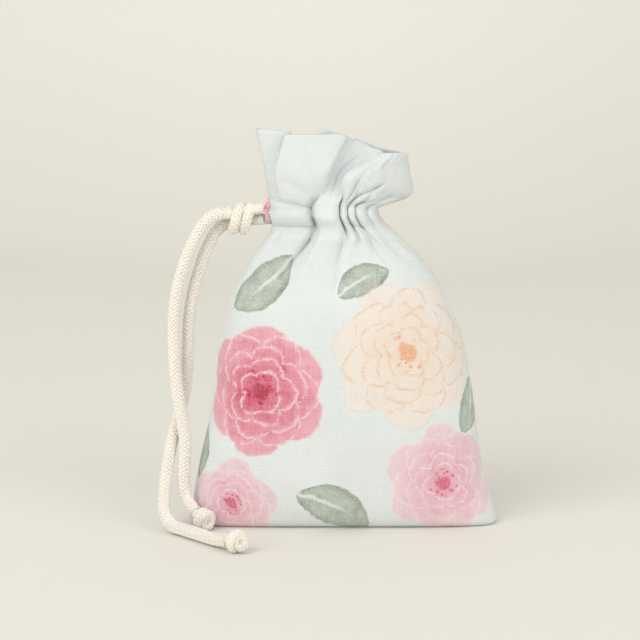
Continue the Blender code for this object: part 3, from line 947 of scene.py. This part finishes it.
BACK_TOP = (
    (0.00, -31.5, 0.3, 145.5), (0.06, -28.4, 1.8, 144.4), (0.14, -23.6, 3.2, 142.4),
    (0.22, -17.6, 3.6, 141.6), (0.30, -11.6, 5.4, 142.6), (0.36, -7.6, 7.0, 144.4),
    (0.41, -4.4, 7.4, 144.9), (0.47, -0.6, 5.8, 144.0), (0.53, 3.2, 4.8, 142.4),
    (0.60, 7.4, 6.2, 140.8), (0.67, 11.4, 7.2, 139.2), (0.75, 15.4, 5.8, 138.4),
    (0.83, 19.0, 4.0, 137.9), (0.91, 22.0, 2.8, 137.3), (0.96, 23.2, 1.6, 136.9), (1.00, 23.5, 0.3, 136.5),
)


def across(table: tuple, shares: np.ndarray, height: float | None = None) -> np.ndarray:
    """Smooth row of points through a table of cloth share and place in mm."""
    rows = np.array(table)
    if height is not None:
        rows = np.column_stack([rows, np.full(len(rows), height)])
    return smooth_through(shares, rows[:, 0], rows[:, 1:]) * MM


@dataclass(frozen=True)
class Crease:
    """A crease in a panel: both ends as cloth share and height in mm, its depth and half width in mm."""

    start: tuple[float, float]
    end: tuple[float, float]
    depth: float
    width: float

    def hollow(self, shares: np.ndarray, heights: np.ndarray, scale: float = 110.0) -> np.ndarray:
        """Depth of the crease at each point.

        Args:
            shares: Cloth share of the points.
            heights: Height of the points in mm.
            scale: Width of the cloth in mm that one share stands for.

        Returns:
            Depth in mm, fading towards both ends.
        """
        first = np.array([self.start[0] * scale, self.start[1]])
        way = np.array([self.end[0] * scale, self.end[1]]) - first
        x, z = shares * scale - first[0], heights - first[1]
        along = (x * way[0] + z * way[1]) / (way @ way)
        away = np.abs(x * way[1] - z * way[0]) / math.hypot(*way)
        ends = smooth_step((along + 0.12) / 0.3) * smooth_step((1.12 - along) / 0.3)
        return self.depth * np.exp(-((away / self.width) ** 1.5)) * ends


FRONT_CREASES = (
    Crease((0.02, 121.4), (0.32, 117.4), 2.2, 0.8),
    Crease((0.03, 119.4), (0.30, 113.2), -0.8, 1.6),
    Crease((0.03, 110.9), (0.31, 110.6), 2.0, 0.9),
    Crease((0.325, 117.8), (0.325, 109.0), 1.6, 1.3),
    Crease((0.31, 110.0), (0.225, 91.0), 2.2, 2.0),
    Crease((0.365, 110.0), (0.30, 88.0), -1.2, 2.4),
    Crease((0.375, 131.0), (0.365, 112.0), -0.7, 1.0),
    Crease((0.55, 121.0), (0.545, 109.0), 1.2, 0.9),
    Crease((0.50, 108.0), (0.47, 88.0), 1.1, 1.5),
    Crease((0.65, 121.0), (0.78, 126.4), 2.0, 0.8),
    Crease((0.60, 119.5), (0.64, 128.5), 1.3, 0.8),
    Crease((0.62, 112.0), (0.80, 110.2), 1.2, 0.9),
    Crease((0.70, 118.6), (0.92, 121.8), 1.6, 0.9),
    Crease((0.58, 117.0), (0.66, 113.0), 1.0, 0.7),
    Crease((0.70, 116.8), (0.76, 112.6), 1.0, 0.7),
    Crease((0.78, 110.0), (0.86, 90.0), -1.2, 1.5),
    Crease((0.86, 110.5), (0.94, 95.0), -1.0, 1.1),
    Crease((0.71, 110.0), (0.74, 94.0), 0.8, 1.4),
    Crease((0.12, 112.0), (0.09, 88.0), 1.0, 1.8),
    Crease((0.92, 20.5), (1.00, 18.5), 1.0, 1.8),
    Crease((0.02, 30.0), (0.16, 22.0), 0.5, 2.0),
    Crease((0.20, 139.0), (0.30, 124.0), 0.7, 1.2),
    Crease((0.15, 128.0), (0.27, 122.5), 0.8, 1.0),
    Crease((0.64, 136.0), (0.80, 124.0), -0.8, 1.4),
    Crease((0.70, 134.5), (0.90, 129.0), 0.6, 1.2),
    Crease((0.45, 136.0), (0.44, 122.0), 0.8, 1.2),
)
BACK_CREASES = (
    Crease((0.20, 112.0), (0.15, 88.0), 1.5, 2.0),
    Crease((0.37, 112.0), (0.34, 84.0), 1.4, 2.2),
    Crease((0.52, 112.0), (0.53, 90.0), 1.2, 1.8),
    Crease((0.68, 111.0), (0.72, 86.0), 1.4, 2.0),
    Crease((0.86, 111.0), (0.90, 94.0), 1.0, 1.4),
    Crease((0.05, 110.8), (0.34, 110.6), 1.2, 1.1),
    Crease((0.45, 110.8), (0.80, 110.6), 1.0, 1.1),
    Crease((0.30, 140.0), (0.42, 124.0), 0.8, 1.5),
    Crease((0.60, 136.0), (0.74, 122.0), 0.9, 1.4),
    Crease((0.04, 24.0), (0.20, 30.0), 0.6, 2.2),
)


def blurred(values: np.ndarray, width: float) -> np.ndarray:
    """Values along a row softened over a share of the row's length."""
    count = len(values)
    reach = np.arange(count)
    weights = np.exp(-0.5 * ((reach[:, None] - reach[None, :]) / (width * count)) ** 2)
    return (weights @ values) / weights.sum(axis=1)[:, None]


def inset_row(row: np.ndarray, side: Side, distance: float) -> np.ndarray:
    """Moves a row towards the inside of the pouch, square to the row."""
    tangent = np.gradient(row[:, :2], axis=0)
    inward = side.value * np.stack([tangent[:, 1], -tangent[:, 0]], axis=1)
    inward /= np.linalg.norm(inward, axis=1)[:, None] + 1e-12
    moved = np.array(row)
    moved[:, :2] += inward * distance
    return moved


@dataclass
class ClothPanel:
    """One printed panel: a single sheet from the bottom seam to the folded-in hem."""

    name: str
    node: str
    side: Side
    casing: tuple
    middle: tuple
    top: tuple
    creases: tuple
    print_offset: float
    seed: float
    width: float = 122.0 * MM
    thickness: float = 0.45 * MM
    columns: int = 168
    hem_gap: float = 0.95 * MM
    seam_gap: float = 0.24 * MM
    allowance: tuple = (0.5 * MM, 1.6 * MM, 3.2 * MM)
    body_rows: int = 118
    neck_rows: int = 22
    ruffle_rows: int = 26
    hem_rows: int = 16
    lean: float = 0.10
    neck_height: float = 115.0 * MM
    flat_height: float = 0.0
    stitch_rows: dict = field(default_factory=dict)

    def rows_upward(self) -> np.ndarray:
        """The rows that shape the outer face, from the bottom seam to the top edge."""
        shares = np.linspace(0.0, 1.0, self.columns + 1)
        sign = self.side.value
        folds = across(self.casing, shares, NECK_RING.height) - NECK_RING.ring(self.side, shares)
        folds[:, 1] = np.where(shares < 0.06, folds[:, 1] * shares / 0.06, folds[:, 1])
        folds[:, 0] = np.where(shares < 0.06, folds[:, 0] * shares / 0.06, folds[:, 0])
        seam = np.column_stack([np.linspace(-56.0, 56.2, self.columns + 1),
                                np.full(self.columns + 1, 0.24 * sign),
                                np.full(self.columns + 1, 0.35)]) * MM
        edge = BODY[0].ring(self.side, shares)
        patch = 0.5 * (seam + edge)
        rows = [seam, patch]
        for level in BODY:
            drop = float(smooth_step((NECK_RING.height - level.height) / 24.0))
            moved = np.clip(shares + self.lean * np.sin(math.pi * shares) * drop, 0.0, 1.0)
            shift = np.stack([np.interp(moved, shares, folds[:, axis]) for axis in range(3)], axis=1)
            shift = blurred(shift, 0.004 + 0.040 * drop)
            shift *= (np.sin(math.pi * shares) ** 0.25)[:, None]
            ring = level.ring(self.side, shares)
            row = ring + level.folds * shift
            row[:, 0] = np.interp(row[:, 0], [row[:, 0].min(), row[:, 0].max()], ring[[0, -1], 0])
            row[:, 2] = ring[:, 2]
            rows.append(row)
        self.stitch_rows["lower"] = len(rows) - 1
        rows.append(across(self.casing, shares, NECK_RING.height))
        casing, middle, top = rows[-1], across(self.middle, shares), across(self.top, shares)
        closing = smooth_step((0.10 - shares) / 0.10)
        upper = np.array(casing)
        upper[:, 1] = casing[:, 1] * (0.80 - 0.76 * closing)
        upper[:, 0] = casing[:, 0] - 1.2 * MM * closing + 0.8 * MM * shares**4
        upper[:, 2] = (119.2 - 1.6 * shares**3) * MM
        foot = 0.66 * upper + 0.34 * middle
        foot[:, 2] = (122.0 - 3.2 * shares**3) * MM
        rows.extend([upper, foot, middle, 0.48 * middle + 0.52 * top + self.bulge(shares), top])
        self.stitch_rows["casing"] = self.stitch_rows["lower"] + 1
        self.stitch_rows["upper"] = self.stitch_rows["lower"] + 2
        return np.array(rows)

    def bulge(self, shares: np.ndarray) -> np.ndarray:
        """Slight outward curve of the ruffle between its middle and its edge."""
        out = 0.5 * MM * self.side.value * np.sin(math.pi * shares)
        return np.column_stack([np.zeros_like(out), out, np.zeros_like(out)])

    def dense(self, rows: np.ndarray, marks: list, counts: list) -> tuple[np.ndarray, list]:
        """Fills in rows between the shaping rows.

        Args:
            rows: The shaping rows.
            marks: Indices of the shaping rows that bound each stretch.
            counts: Number of rows in each stretch.

        Returns:
            All rows, and the index at which each stretch starts.
        """
        steps = np.linalg.norm(np.diff(rows, axis=0), axis=2).mean(axis=1)
        known = np.concatenate([[0.0], np.cumsum(steps)])
        places, starts = [], []
        for low, high, count in zip(marks, marks[1:], counts):
            starts.append(len(places))
            places.extend(np.linspace(known[low], known[high], count, endpoint=False))
        starts.append(len(places))
        places.append(known[marks[-1]])
        return smooth_through(np.array(places), known, rows), starts

    def wrinkle(self, rows: np.ndarray) -> np.ndarray:
        """Adds soft hollows, crisp creases along the pleats and a slightly crumpled surface."""
        moved = np.array(rows)
        sign = self.side.value
        for i, row in enumerate(rows):
            height = row[:, 2].mean() / self.neck_height
            gathered = float(smooth_step((height - 0.62) / 0.34))
            for j, place in enumerate(row):
                share = j / self.columns
                soft = Vector((share * (4.6 + 5.0 * gathered), self.seed, place[2] * 26.0))
                line = Vector((share * 15.0, self.seed + 4.0, place[2] * (34.0 - 12.0 * gathered)))
                crumple = Vector((place[0] * 95.0, self.seed + 9.0, place[2] * 95.0))
                depth = (0.80 - 0.25 * gathered) * noise.noise(soft)
                depth += (0.10 + 0.55 * gathered) * (0.28 - abs(noise.noise(line)))
                depth += (0.16 + 0.42 * gathered) * (0.45 - noise.voronoi(crumple)[0][0])
                free = min(1.0, place[2] / (9.0 * MM)) * math.sin(math.pi * share) ** 0.5
                moved[i, j, 1] += sign * depth * MM * free
        shares = np.linspace(0.0, 1.0, self.columns + 1)[None, :].repeat(len(rows), axis=0)
        for crease in self.creases:
            hollow = crease.hollow(shares, rows[:, :, 2] / MM)
            moved[:, :, 1] -= sign * hollow * MM * np.sin(math.pi * shares) ** 0.25
        return moved

    def inner_rows(self, outer: np.ndarray, starts: list, shaping: np.ndarray) -> np.ndarray:
        """The folded-in hem, from the top edge down inside the ruffle and behind the cord."""
        sign = self.side.value
        shares = np.linspace(0.0, 1.0, self.columns + 1)
        lining = [inset_row(row, self.side, self.hem_gap) for row in outer[starts[2]:][::-1]]
        behind = Level(NECK_RING.height, -25.4, 6.4, 2.9, 3.0, 0.0).ring(self.side, shares)
        behind[:, 1] += 0.35 * MM * sign * np.sin(2.0 * math.pi * 5.0 * shares) * np.sin(math.pi * shares)
        lower = inset_row(shaping[self.stitch_rows["lower"]], self.side, self.hem_gap)
        hem = inset_row(shaping[self.stitch_rows["lower"] - 1], self.side, self.hem_gap)
        hem[:, 2] = 106.6 * MM
        turns = np.array([lining[-1], behind, lower, hem])
        down, _ = self.dense(turns, [0, 3], [self.hem_rows])
        rows = np.array(lining + list(down[1:]))
        rows[:, :, 1] = sign * np.maximum(sign * rows[:, :, 1], self.seam_gap)
        return rows

    def surface(self) -> tuple[np.ndarray, np.ndarray]:
        """All rows of the sheet and the flat cloth place of every point."""
        shaping = self.rows_upward()
        lower, upper = self.stitch_rows["lower"], self.stitch_rows["upper"]
        outer, starts = self.dense(shaping, [0, lower, upper, len(shaping) - 1],
                                   [self.body_rows, self.neck_rows, self.ruffle_rows])
        outer = self.wrinkle(outer)
        outer[:, :, 2] = np.maximum(outer[:, :, 2], 0.5 * self.thickness + 0.05 * MM)
        outer[:, :, 1] = self.side.value * np.maximum(self.side.value * outer[:, :, 1], self.seam_gap)
        self.starts, self.outer = starts, outer
        inner = self.inner_rows(outer, starts, shaping)
        apex = 0.5 * (outer[-1] + inner[0])
        apex[:, 2] += 0.45 * self.hem_gap
        rows = np.concatenate([outer, apex[None], inner])
        pivot = int(0.48 * self.columns)
        steps = np.linalg.norm(np.diff(rows, axis=1), axis=2)
        run = np.concatenate([np.zeros((len(rows), 1)), np.cumsum(steps, axis=1)], axis=1)
        along = run - run[:, pivot:pivot + 1] + 0.48 * self.width + self.print_offset
        rise = np.linalg.norm(np.diff(rows, axis=0), axis=2).mean(axis=1)
        up = np.concatenate([[0.0], np.cumsum(rise)])
        self.flat_height = float(up[-1])
        flat = np.stack([along, np.repeat(up[:, None], rows.shape[1], axis=1)], axis=2)
        return self.turned_in(rows, flat)

    def turned_in(self, rows: np.ndarray, flat: np.ndarray) -> tuple[np.ndarray, np.ndarray]:
        """Adds the seam allowance that turns inside along both side seams."""
        for end, inward in ((0, 1.0), (-1, -1.0)):
            edges, places = [], []
            for distance in self.allowance:
                edge, place = np.array(rows[:, end]), np.array(flat[:, end])
                edge[:, 0] += inward * distance
                place[:, 0] -= inward * distance
                edges.append(edge)
                places.append(place)
            if end == 0:
                rows = np.concatenate([np.stack(edges[::-1], axis=1), rows], axis=1)
                flat = np.concatenate([np.stack(places[::-1], axis=1), flat], axis=1)
            else:
                rows = np.concatenate([rows, np.stack(edges, axis=1)], axis=1)
                flat = np.concatenate([flat, np.stack(places, axis=1)], axis=1)
        return rows, flat

    def build(self, finish: bpy.types.Material) -> bpy.types.Object:
        """Makes the sheet and gives it its thickness."""
        rows, flat = self.surface()
        count, width = rows.shape[:2]
        faces = []
        for i in range(count - 1):
            for j in range(width - 1):
                a = i * width + j
                quad = (a, a + 1, a + width + 1, a + width)
                faces.append(quad if self.side is Side.FRONT else quad[::-1])
        mesh = mesh_from(self.name, rows.reshape(-1, 3), faces)
        layer = mesh.uv_layers.new(name="cloth")
        index = np.empty(len(mesh.loops), dtype=int)
        mesh.loops.foreach_get("vertex_index", index)
        layer.data.foreach_set("uv", flat.reshape(-1, 2)[index].ravel())
        mesh.shade_smooth()
        mesh.materials.append(finish)
        panel = add_object(self.name, mesh)
        solid = panel.modifiers.new("thickness", "SOLIDIFY")
        solid.thickness = self.thickness
        solid.offset = 0.0
        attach(panel, ROOT_BODY)
        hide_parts(self.node)
        LOG.info("%s: cloth %.0f by %.0f mm", self.name, self.width / MM, self.flat_height / MM)
        return panel


# ---------------------------------------------------------------------------------------------
# Cord and knots
# ---------------------------------------------------------------------------------------------


SHORT_TAIL_ROUTE = (
    (-44.3, -2.6, 115.4), (-47.9, -2.9, 114.2), (-51.5, -3.2, 110.8), (-55.1, -3.5, 104.4),
    (-58.4, -3.7, 96.3), (-60.8, -3.9, 87.8), (-62.1, -4.3, 78.0), (-62.3, -4.9, 67.8),
    (-61.8, -6.0, 57.0), (-60.6, -7.4, 47.2), (-59.2, -8.4, 39.0), (-58.1, -8.8, 31.0),
    (-58.6, -9.0, 22.4), (-58.8, -9.5, 15.4), (-57.4, -11.1, 10.2), (-54.5, -14.2, 6.4),
)
LONG_TAIL_ROUTE = (
    (-43.6, 2.7, 111.4), (-47.0, 2.6, 108.0), (-50.1, 2.2, 102.4), (-52.9, 1.7, 94.4),
    (-55.3, 1.2, 86.0), (-56.8, 0.9, 77.0), (-57.4, 0.7, 67.0), (-57.9, 0.2, 57.0),
    (-59.1, -0.8, 47.4), (-61.2, -2.8, 39.0), (-63.3, -5.9, 31.2), (-64.8, -9.6, 22.0),
    (-65.7, -13.0, 13.4), (-65.4, -16.8, 6.6), (-62.7, -21.2, 3.2), (-57.6, -27.2, 2.6),
    (-51.6, -34.2, 2.6), (-45.6, -41.4, 2.6), (-41.0, -46.8, 3.4),
)


@dataclass
class Drawstring:
    """The cotton cord: its hidden loop, two tails, the knot at the slit and the two end knots."""

    diameter: float = 5.0 * MM
    lift: float = 0.20 * MM
    strand: float = 0.52 * MM
    turn: float = 12.0 * MM
    strands: int = 8
    step: float = 0.6 * MM
    exit_centre: tuple = (-37.0, 0.0, 113.8)
    short_centre: tuple = (-51.4, -17.1, 4.4)
    long_centre: tuple = (-38.0, -50.3, 4.4)
    end_radius: float = 4.3

    def braided(self, tree: GeometryTree, name: str, chains: list, finish: bpy.types.Material,
                squeeze: float = 1.0) -> bpy.types.Object:
        """A braided cord along one or more centre lines.

        Args:
            tree: The braid's node tree.
            name: Name of the piece.
            chains: Centre lines.
            finish: Yarn material.
            squeeze: Thickness as a share of the free cord's.

        Returns:
            The cord as a plain mesh.
        """
        radius = 0.5 * self.diameter * squeeze - self.lift - self.strand
        return tree.grow(name, chains, finish, Braid_Radius=radius, Strand_Radius=self.strand,
                         Strands=self.strands, Turn_Length=self.turn * squeeze, Lift=self.lift,
                         Step=self.step)

    def loop_path(self) -> np.ndarray:
        """Centre line of the cord inside the casing, from the knot round and back to it."""
        height = NECK_RING.height
        lead = [(-29.4, -2.8, height + 2.2), (-25.8, -3.4, height + 1.0)]
        ring = Level(height, -23.2, 8.6, 5.4, 2.4, 0.0).ring(Side.FRONT, np.linspace(0.16, 1.0, 10)) / MM
        front = [tuple(point) for point in ring[:-1]] + [(8.6, 0.0, height)]
        back = [(x, -y, z) for x, y, z in reversed(front[:-1])]
        out = [(-25.8, 2.4, height - 1.0), (-29.4, -0.3, height - 2.1)]
        return smooth_route(np.array(lead + front + back + out) * MM, MM)

    def exit_knot_chains(self) -> list:
        """Centre lines of the wraps that tie the two strands together at the slit."""
        centre = np.array(self.exit_centre)
        turns = np.linspace(-0.2, 2.2, 66)
        angle = 2.0 * math.pi * turns + 0.5
        swell = 3.95 * smooth_step((turns + 0.3) / 0.4) * smooth_step((2.35 - turns) / 0.4)
        wraps = np.column_stack([centre[0] + 3.4 - 3.9 * turns + 0.5 * np.sin(angle),
                                 centre[1] + swell * np.cos(angle),
                                 centre[2] - 0.6 + (swell + 0.15) * np.sin(angle)])
        inner = [smooth_route(np.array(route) * MM, MM) / MM for route in (
            ((-29.0, -2.8, 117.3), (-33.0, -2.2, 116.6), (-40.0, -1.8, 114.8), (-45.0, -2.6, 115.3)),
            ((-29.0, -0.4, 112.9), (-33.0, 0.6, 112.6), (-40.0, 2.0, 112.4), (-44.4, 2.7, 110.8)))]
        return [chain * MM for chain in [wraps, *inner]]

    def end_knot_chains(self, centre: tuple, axis: tuple) -> list:
        """Centre lines of a small tight knot: a wrap round the cord, and the cord inside it.

        Args:
            centre: Middle of the knot in mm.
            axis: Direction of the cord as it enters.

        Returns:
            Points of the wrap and of the straight cord.
        """
        way = Vector(axis).normalized()
        over = way.cross(Vector((0.0, 0.0, 1.0))).normalized()
        up = over.cross(way)
        turn = np.linspace(0.0, 1.0, 60)
        angle = 2.0 * math.pi * (1.75 * turn + 0.1)
        swell = 2.45 * smooth_step(turn / 0.2) * smooth_step((1.08 - turn) / 0.22)
        run = -2.5 + 5.2 * turn
        wrap = (np.outer(run, way) + np.outer(swell * np.cos(angle), over)
                + np.outer(swell * np.sin(angle), up))
        core = np.outer(np.linspace(-4.6, 2.6, 12), way)
        return [(np.array(centre) + chain) * MM for chain in (wrap, core)]

    def tail(self, tree: GeometryTree, name: str, node: str, route: tuple, knot: bpy.types.Object,
             finish: bpy.types.Material) -> bpy.types.Object:
        """One hanging tail, a braided cord that ends in its knot."""
        path = smooth_route(np.array(route) * MM, MM)
        cord = self.braided(tree, name, [path], finish)
        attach(cord, ROOT_BODY)
        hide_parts(node)
        LOG.info("%s: %.0f mm", name, length_of(path) / MM)
        return cord

    def knot(self, tree: GeometryTree, name: str, node: str, chains: list, squeeze: float,
             finish: bpy.types.Material) -> bpy.types.Object:
        """A knot that stands for its plain solid."""
        made = self.braided(tree, name, chains, finish, squeeze)
        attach(made, ROOT_BODY)
        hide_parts(node)
        LOG.info("%s: %d faces", name, len(made.data.polygons))
        return made

    def build(self, tree: GeometryTree, finish: bpy.types.Material) -> None:
        """Makes every piece of the drawstring."""
        self.knot(tree, "drawstring_loop", "drawstring_in_casing", [self.loop_path()], 0.86, finish)
        self.knot(tree, "exit_knot_wraps", "exit_knot", self.exit_knot_chains(), 0.86, finish)
        short = self.knot(tree, "short_tail_end_knot", "short_tail_knot",
                          self.end_knot_chains(self.short_centre, (3.0, -2.8, -1.6)), 0.80, finish)
        long = self.knot(tree, "long_tail_end_knot", "long_tail_knot",
                         self.end_knot_chains(self.long_centre, (4.6, -5.4, 0.3)), 0.80, finish)
        self.tail(tree, "short_tail_cord", "short_tail", SHORT_TAIL_ROUTE, short, finish)
        self.tail(tree, "long_tail_cord", "long_tail", LONG_TAIL_ROUTE, long, finish)


@dataclass
class Sewing:
    """The casing's stitch lines, the facing strips at the slit and a loose thread at the ruffle's tip."""

    stand_off: float = 0.30 * MM
    facing_width: float = 2.6 * MM
    facing_heights: tuple = (111.4, 121.6)
    facing_columns: int = 6
    facing_rows: int = 14
    tip: tuple = (23.5, -0.5, 136.6)

    def stitch_line(self, tree: GeometryTree, name: str, panel: "ClothPanel", row: np.ndarray,
                    finish: bpy.types.Material) -> None:
        """One line of running stitches on a row of a panel."""
        path = inset_row(row, panel.side, -self.stand_off)[4:-4]
        line = tree.grow(name, [path], finish)
        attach(line, ROOT_BODY)
        LOG.info("%s: %d faces", name, len(line.data.polygons))

    def facing(self, name: str, side: Side, finish: bpy.types.Material) -> None:
        """A pressed-back edge of printed cloth beside the slit."""
        low, high = self.facing_heights
        points, flat, faces = [], [], []
        for i in range(self.facing_rows + 1):
            rise = i / self.facing_rows
            open_share = math.sin(math.pi * rise)
            for j in range(self.facing_columns + 1):
                out = j / self.facing_columns
                x = -26.2 - (self.facing_width / MM) * out * (0.55 + 0.45 * open_share)
                y = side.value * (0.6 + (4.4 + 0.9 * out) * open_share + 0.35 * math.sin(9.0 * rise + out))
                z = low + (high - low) * rise + 0.5 * out * math.sin(5.0 * rise)
                points.append((x * MM, y * MM, z * MM))
                flat.append((0.018 + 0.6 * out * self.facing_width, 0.146 + (high - low) * rise * MM))
        width = self.facing_columns + 1
        for i in range(self.facing_rows):
            for j in range(self.facing_columns):
                a = i * width + j
                quad = (a, a + width, a + width + 1, a + 1)
                faces.append(quad if side is Side.FRONT else quad[::-1])
        mesh = mesh_from(name, np.array(points), faces)
        layer = mesh.uv_layers.new(name="cloth")
        for loop in mesh.loops:
            layer.data[loop.index].uv = flat[loop.vertex_index]
        mesh.shade_smooth()
        mesh.materials.append(finish)
        strip = add_object(name, mesh)
        solid = strip.modifiers.new("thickness", "SOLIDIFY")
        solid.thickness, solid.offset = 0.45 * MM, 0.0
        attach(strip, ROOT_BODY)
        LOG.info("%s: %d faces", name, len(faces))

    def loose_thread(self, finish: bpy.types.Material) -> None:
        """A tiny loop of thread that stands out of the ruffle's tip."""
        turn = np.linspace(-0.6, 1.0, 18) * math.pi
        path = np.column_stack([self.tip[0] - 0.5 + 0.9 * np.cos(turn), self.tip[1] + 0.25 * np.sin(2 * turn),
                                self.tip[2] + 1.0 + 1.0 * np.sin(turn)]) * MM
        data = bpy.data.curves.new("loose_thread", "CURVE")
        data.dimensions, data.bevel_depth, data.bevel_resolution = "3D", 0.14 * MM, 2
        data.use_fill_caps = True
        spline = data.splines.new("POLY")
        spline.points.add(len(path) - 1)
        for point, place in zip(spline.points, path):
            point.co = (*place, 1.0)
        guide = bpy.data.objects.new("loose_thread_guide", data)
        bpy.context.scene.collection.objects.link(guide)
        bpy.context.view_layer.update()
        mesh = bpy.data.meshes.new_from_object(guide.evaluated_get(bpy.context.evaluated_depsgraph_get()))
        bpy.data.objects.remove(guide)
        mesh.materials.clear()
        mesh.materials.append(finish)
        mesh.shade_smooth()
        thread = add_object("loose_thread", mesh)
        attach(thread, ROOT_BODY)
        LOG.info("loose_thread: %d faces", len(mesh.polygons))

    def build(self, tree: GeometryTree, front: "ClothPanel", back: "ClothPanel",
              thread: bpy.types.Material, printed: bpy.types.Material) -> None:
        """Makes all the sewing."""
        for label, panel in (("front", front), ("back", back)):
            for place, start in (("lower", panel.starts[1]), ("upper", panel.starts[2])):
                self.stitch_line(tree, f"{label}_{place}_casing_stitches", panel, panel.outer[start], thread)
        self.facing("slit_facing_front", Side.FRONT, printed)
        self.facing("slit_facing_back", Side.BACK, printed)
        self.loose_thread(thread)


# ---------------------------------------------------------------------------------------------
# Studio
# ---------------------------------------------------------------------------------------------


@dataclass(frozen=True)
class Studio:
    """Seamless paper, soft lights and the camera."""

    distance: float = 0.75
    pitch: float = 8.0
    aim: tuple[float, float, float] = (-0.0085, 0.0, 0.0755)
    lens: float = 114.03
    near: float = 0.75
    far: float = 3.0
    curve: float = 0.5
    wall: float = 3.0
    spokes: int = 96

    def build_paper(self, finish: bpy.types.Material) -> None:
        """Floor that curves up into a wall all round, close behind the pouch and far elsewhere."""
        profile = [(0.0, 0.0)]
        for step in range(25):
            angle = 0.5 * math.pi * step / 24
            profile.append((self.curve * math.sin(angle), self.curve * (1.0 - math.cos(angle))))
        profile.append((self.curve, self.wall))
        points = [(0.0, 0.0, 0.0)]
        for spoke in range(self.spokes):
            turn = 2.0 * math.pi * spoke / self.spokes
            flat = self.far - (self.far - self.near) * max(0.0, math.sin(turn)) ** 2
            for index, (out, z) in enumerate(profile):
                reach = 0.5 * flat if index == 0 else flat + out
                points.append((reach * math.cos(turn), reach * math.sin(turn), z))
        faces, count = [], len(profile)
        for spoke in range(self.spokes):
            a, b = 1 + spoke * count, 1 + (spoke + 1) % self.spokes * count
            faces.append((0, a, b))
            faces.extend((a + i, a + i + 1, b + i + 1, b + i) for i in range(count - 1))
        mesh = mesh_from("paper_sweep", points, faces)
        mesh.shade_smooth()
        mesh.materials.append(finish)
        add_object("paper_sweep", mesh)

    def add_light(self, name: str, place: tuple, size: float, power: float, colour: tuple) -> None:
        """A soft square light aimed at the pouch."""
        data = bpy.data.lights.new(name, "AREA")
        data.size = size
        data.energy = power
        data.color = colour
        light = bpy.data.objects.new(name, data)
        light.location = place
        light.rotation_euler = (Vector(self.aim) - Vector(place)).to_track_quat("-Z", "Y").to_euler()
        bpy.context.scene.collection.objects.link(light)

    def add_camera(self) -> None:
        """The camera, looking slightly down at the front."""
        data = bpy.data.cameras.new("camera")
        data.lens = self.lens
        camera = bpy.data.objects.new("camera", data)
        pitch = math.radians(self.pitch)
        aim = Vector(self.aim)
        camera.location = aim + Vector((0.0, -math.cos(pitch), math.sin(pitch))) * self.distance
        camera.rotation_euler = (aim - camera.location).to_track_quat("-Z", "Y").to_euler()
        bpy.context.scene.collection.objects.link(camera)
        bpy.context.scene.camera = camera

    def build(self) -> None:
        """Makes the whole studio."""
        scene = bpy.context.scene
        scene.view_settings.view_transform = "Standard"
        world = bpy.data.worlds.new("soft_room")
        world.use_nodes = True
        sky = world.node_tree.nodes["Background"]
        sky.inputs["Color"].default_value = (0.975, 0.99, 1.0, 1.0)
        sky.inputs["Strength"].default_value = 0.62
        scene.world = world
        self.build_paper(StudioPaper().build())
        self.add_light("window_left", (-1.2, -1.4, 1.1), 1.6, 21.0, (1.0, 0.985, 0.96))
        self.add_light("fill_right", (1.4, -1.5, 0.8), 1.6, 14.0, (1.0, 0.99, 0.97))
        self.add_light("overhead", (0.0, 0.2, 1.9), 2.0, 3.0, (1.0, 0.99, 0.97))
        self.add_camera()


def main() -> None:
    """Builds every piece in order."""
    logging.basicConfig(level=logging.INFO, format="%(name)s: %(message)s")
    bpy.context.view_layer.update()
    effects = SharedEffects()
    Studio().build()
    yarn = CottonYarn().build(effects)
    Drawstring().build(build_braid_tree(), yarn)
    front = ClothPanel("front_cloth", "front_panel", Side.FRONT, FRONT_CASING, FRONT_MIDDLE, FRONT_TOP,
                       FRONT_CREASES, 0.0, 1.3)
    back = ClothPanel("back_cloth", "back_panel", Side.BACK, BACK_CASING, BACK_MIDDLE, BACK_TOP,
                      BACK_CREASES, 0.0, 8.7)
    front.build(PrintedCloth("front_print", FRONT_PRINT).build(effects))
    printed = PrintedCloth("back_print", BACK_PRINT).build(effects)
    back.build(printed)
    Sewing().build(build_stitch_tree(), front, back, SewingThread().build(effects), printed)


if __name__ == "__main__":
    main()
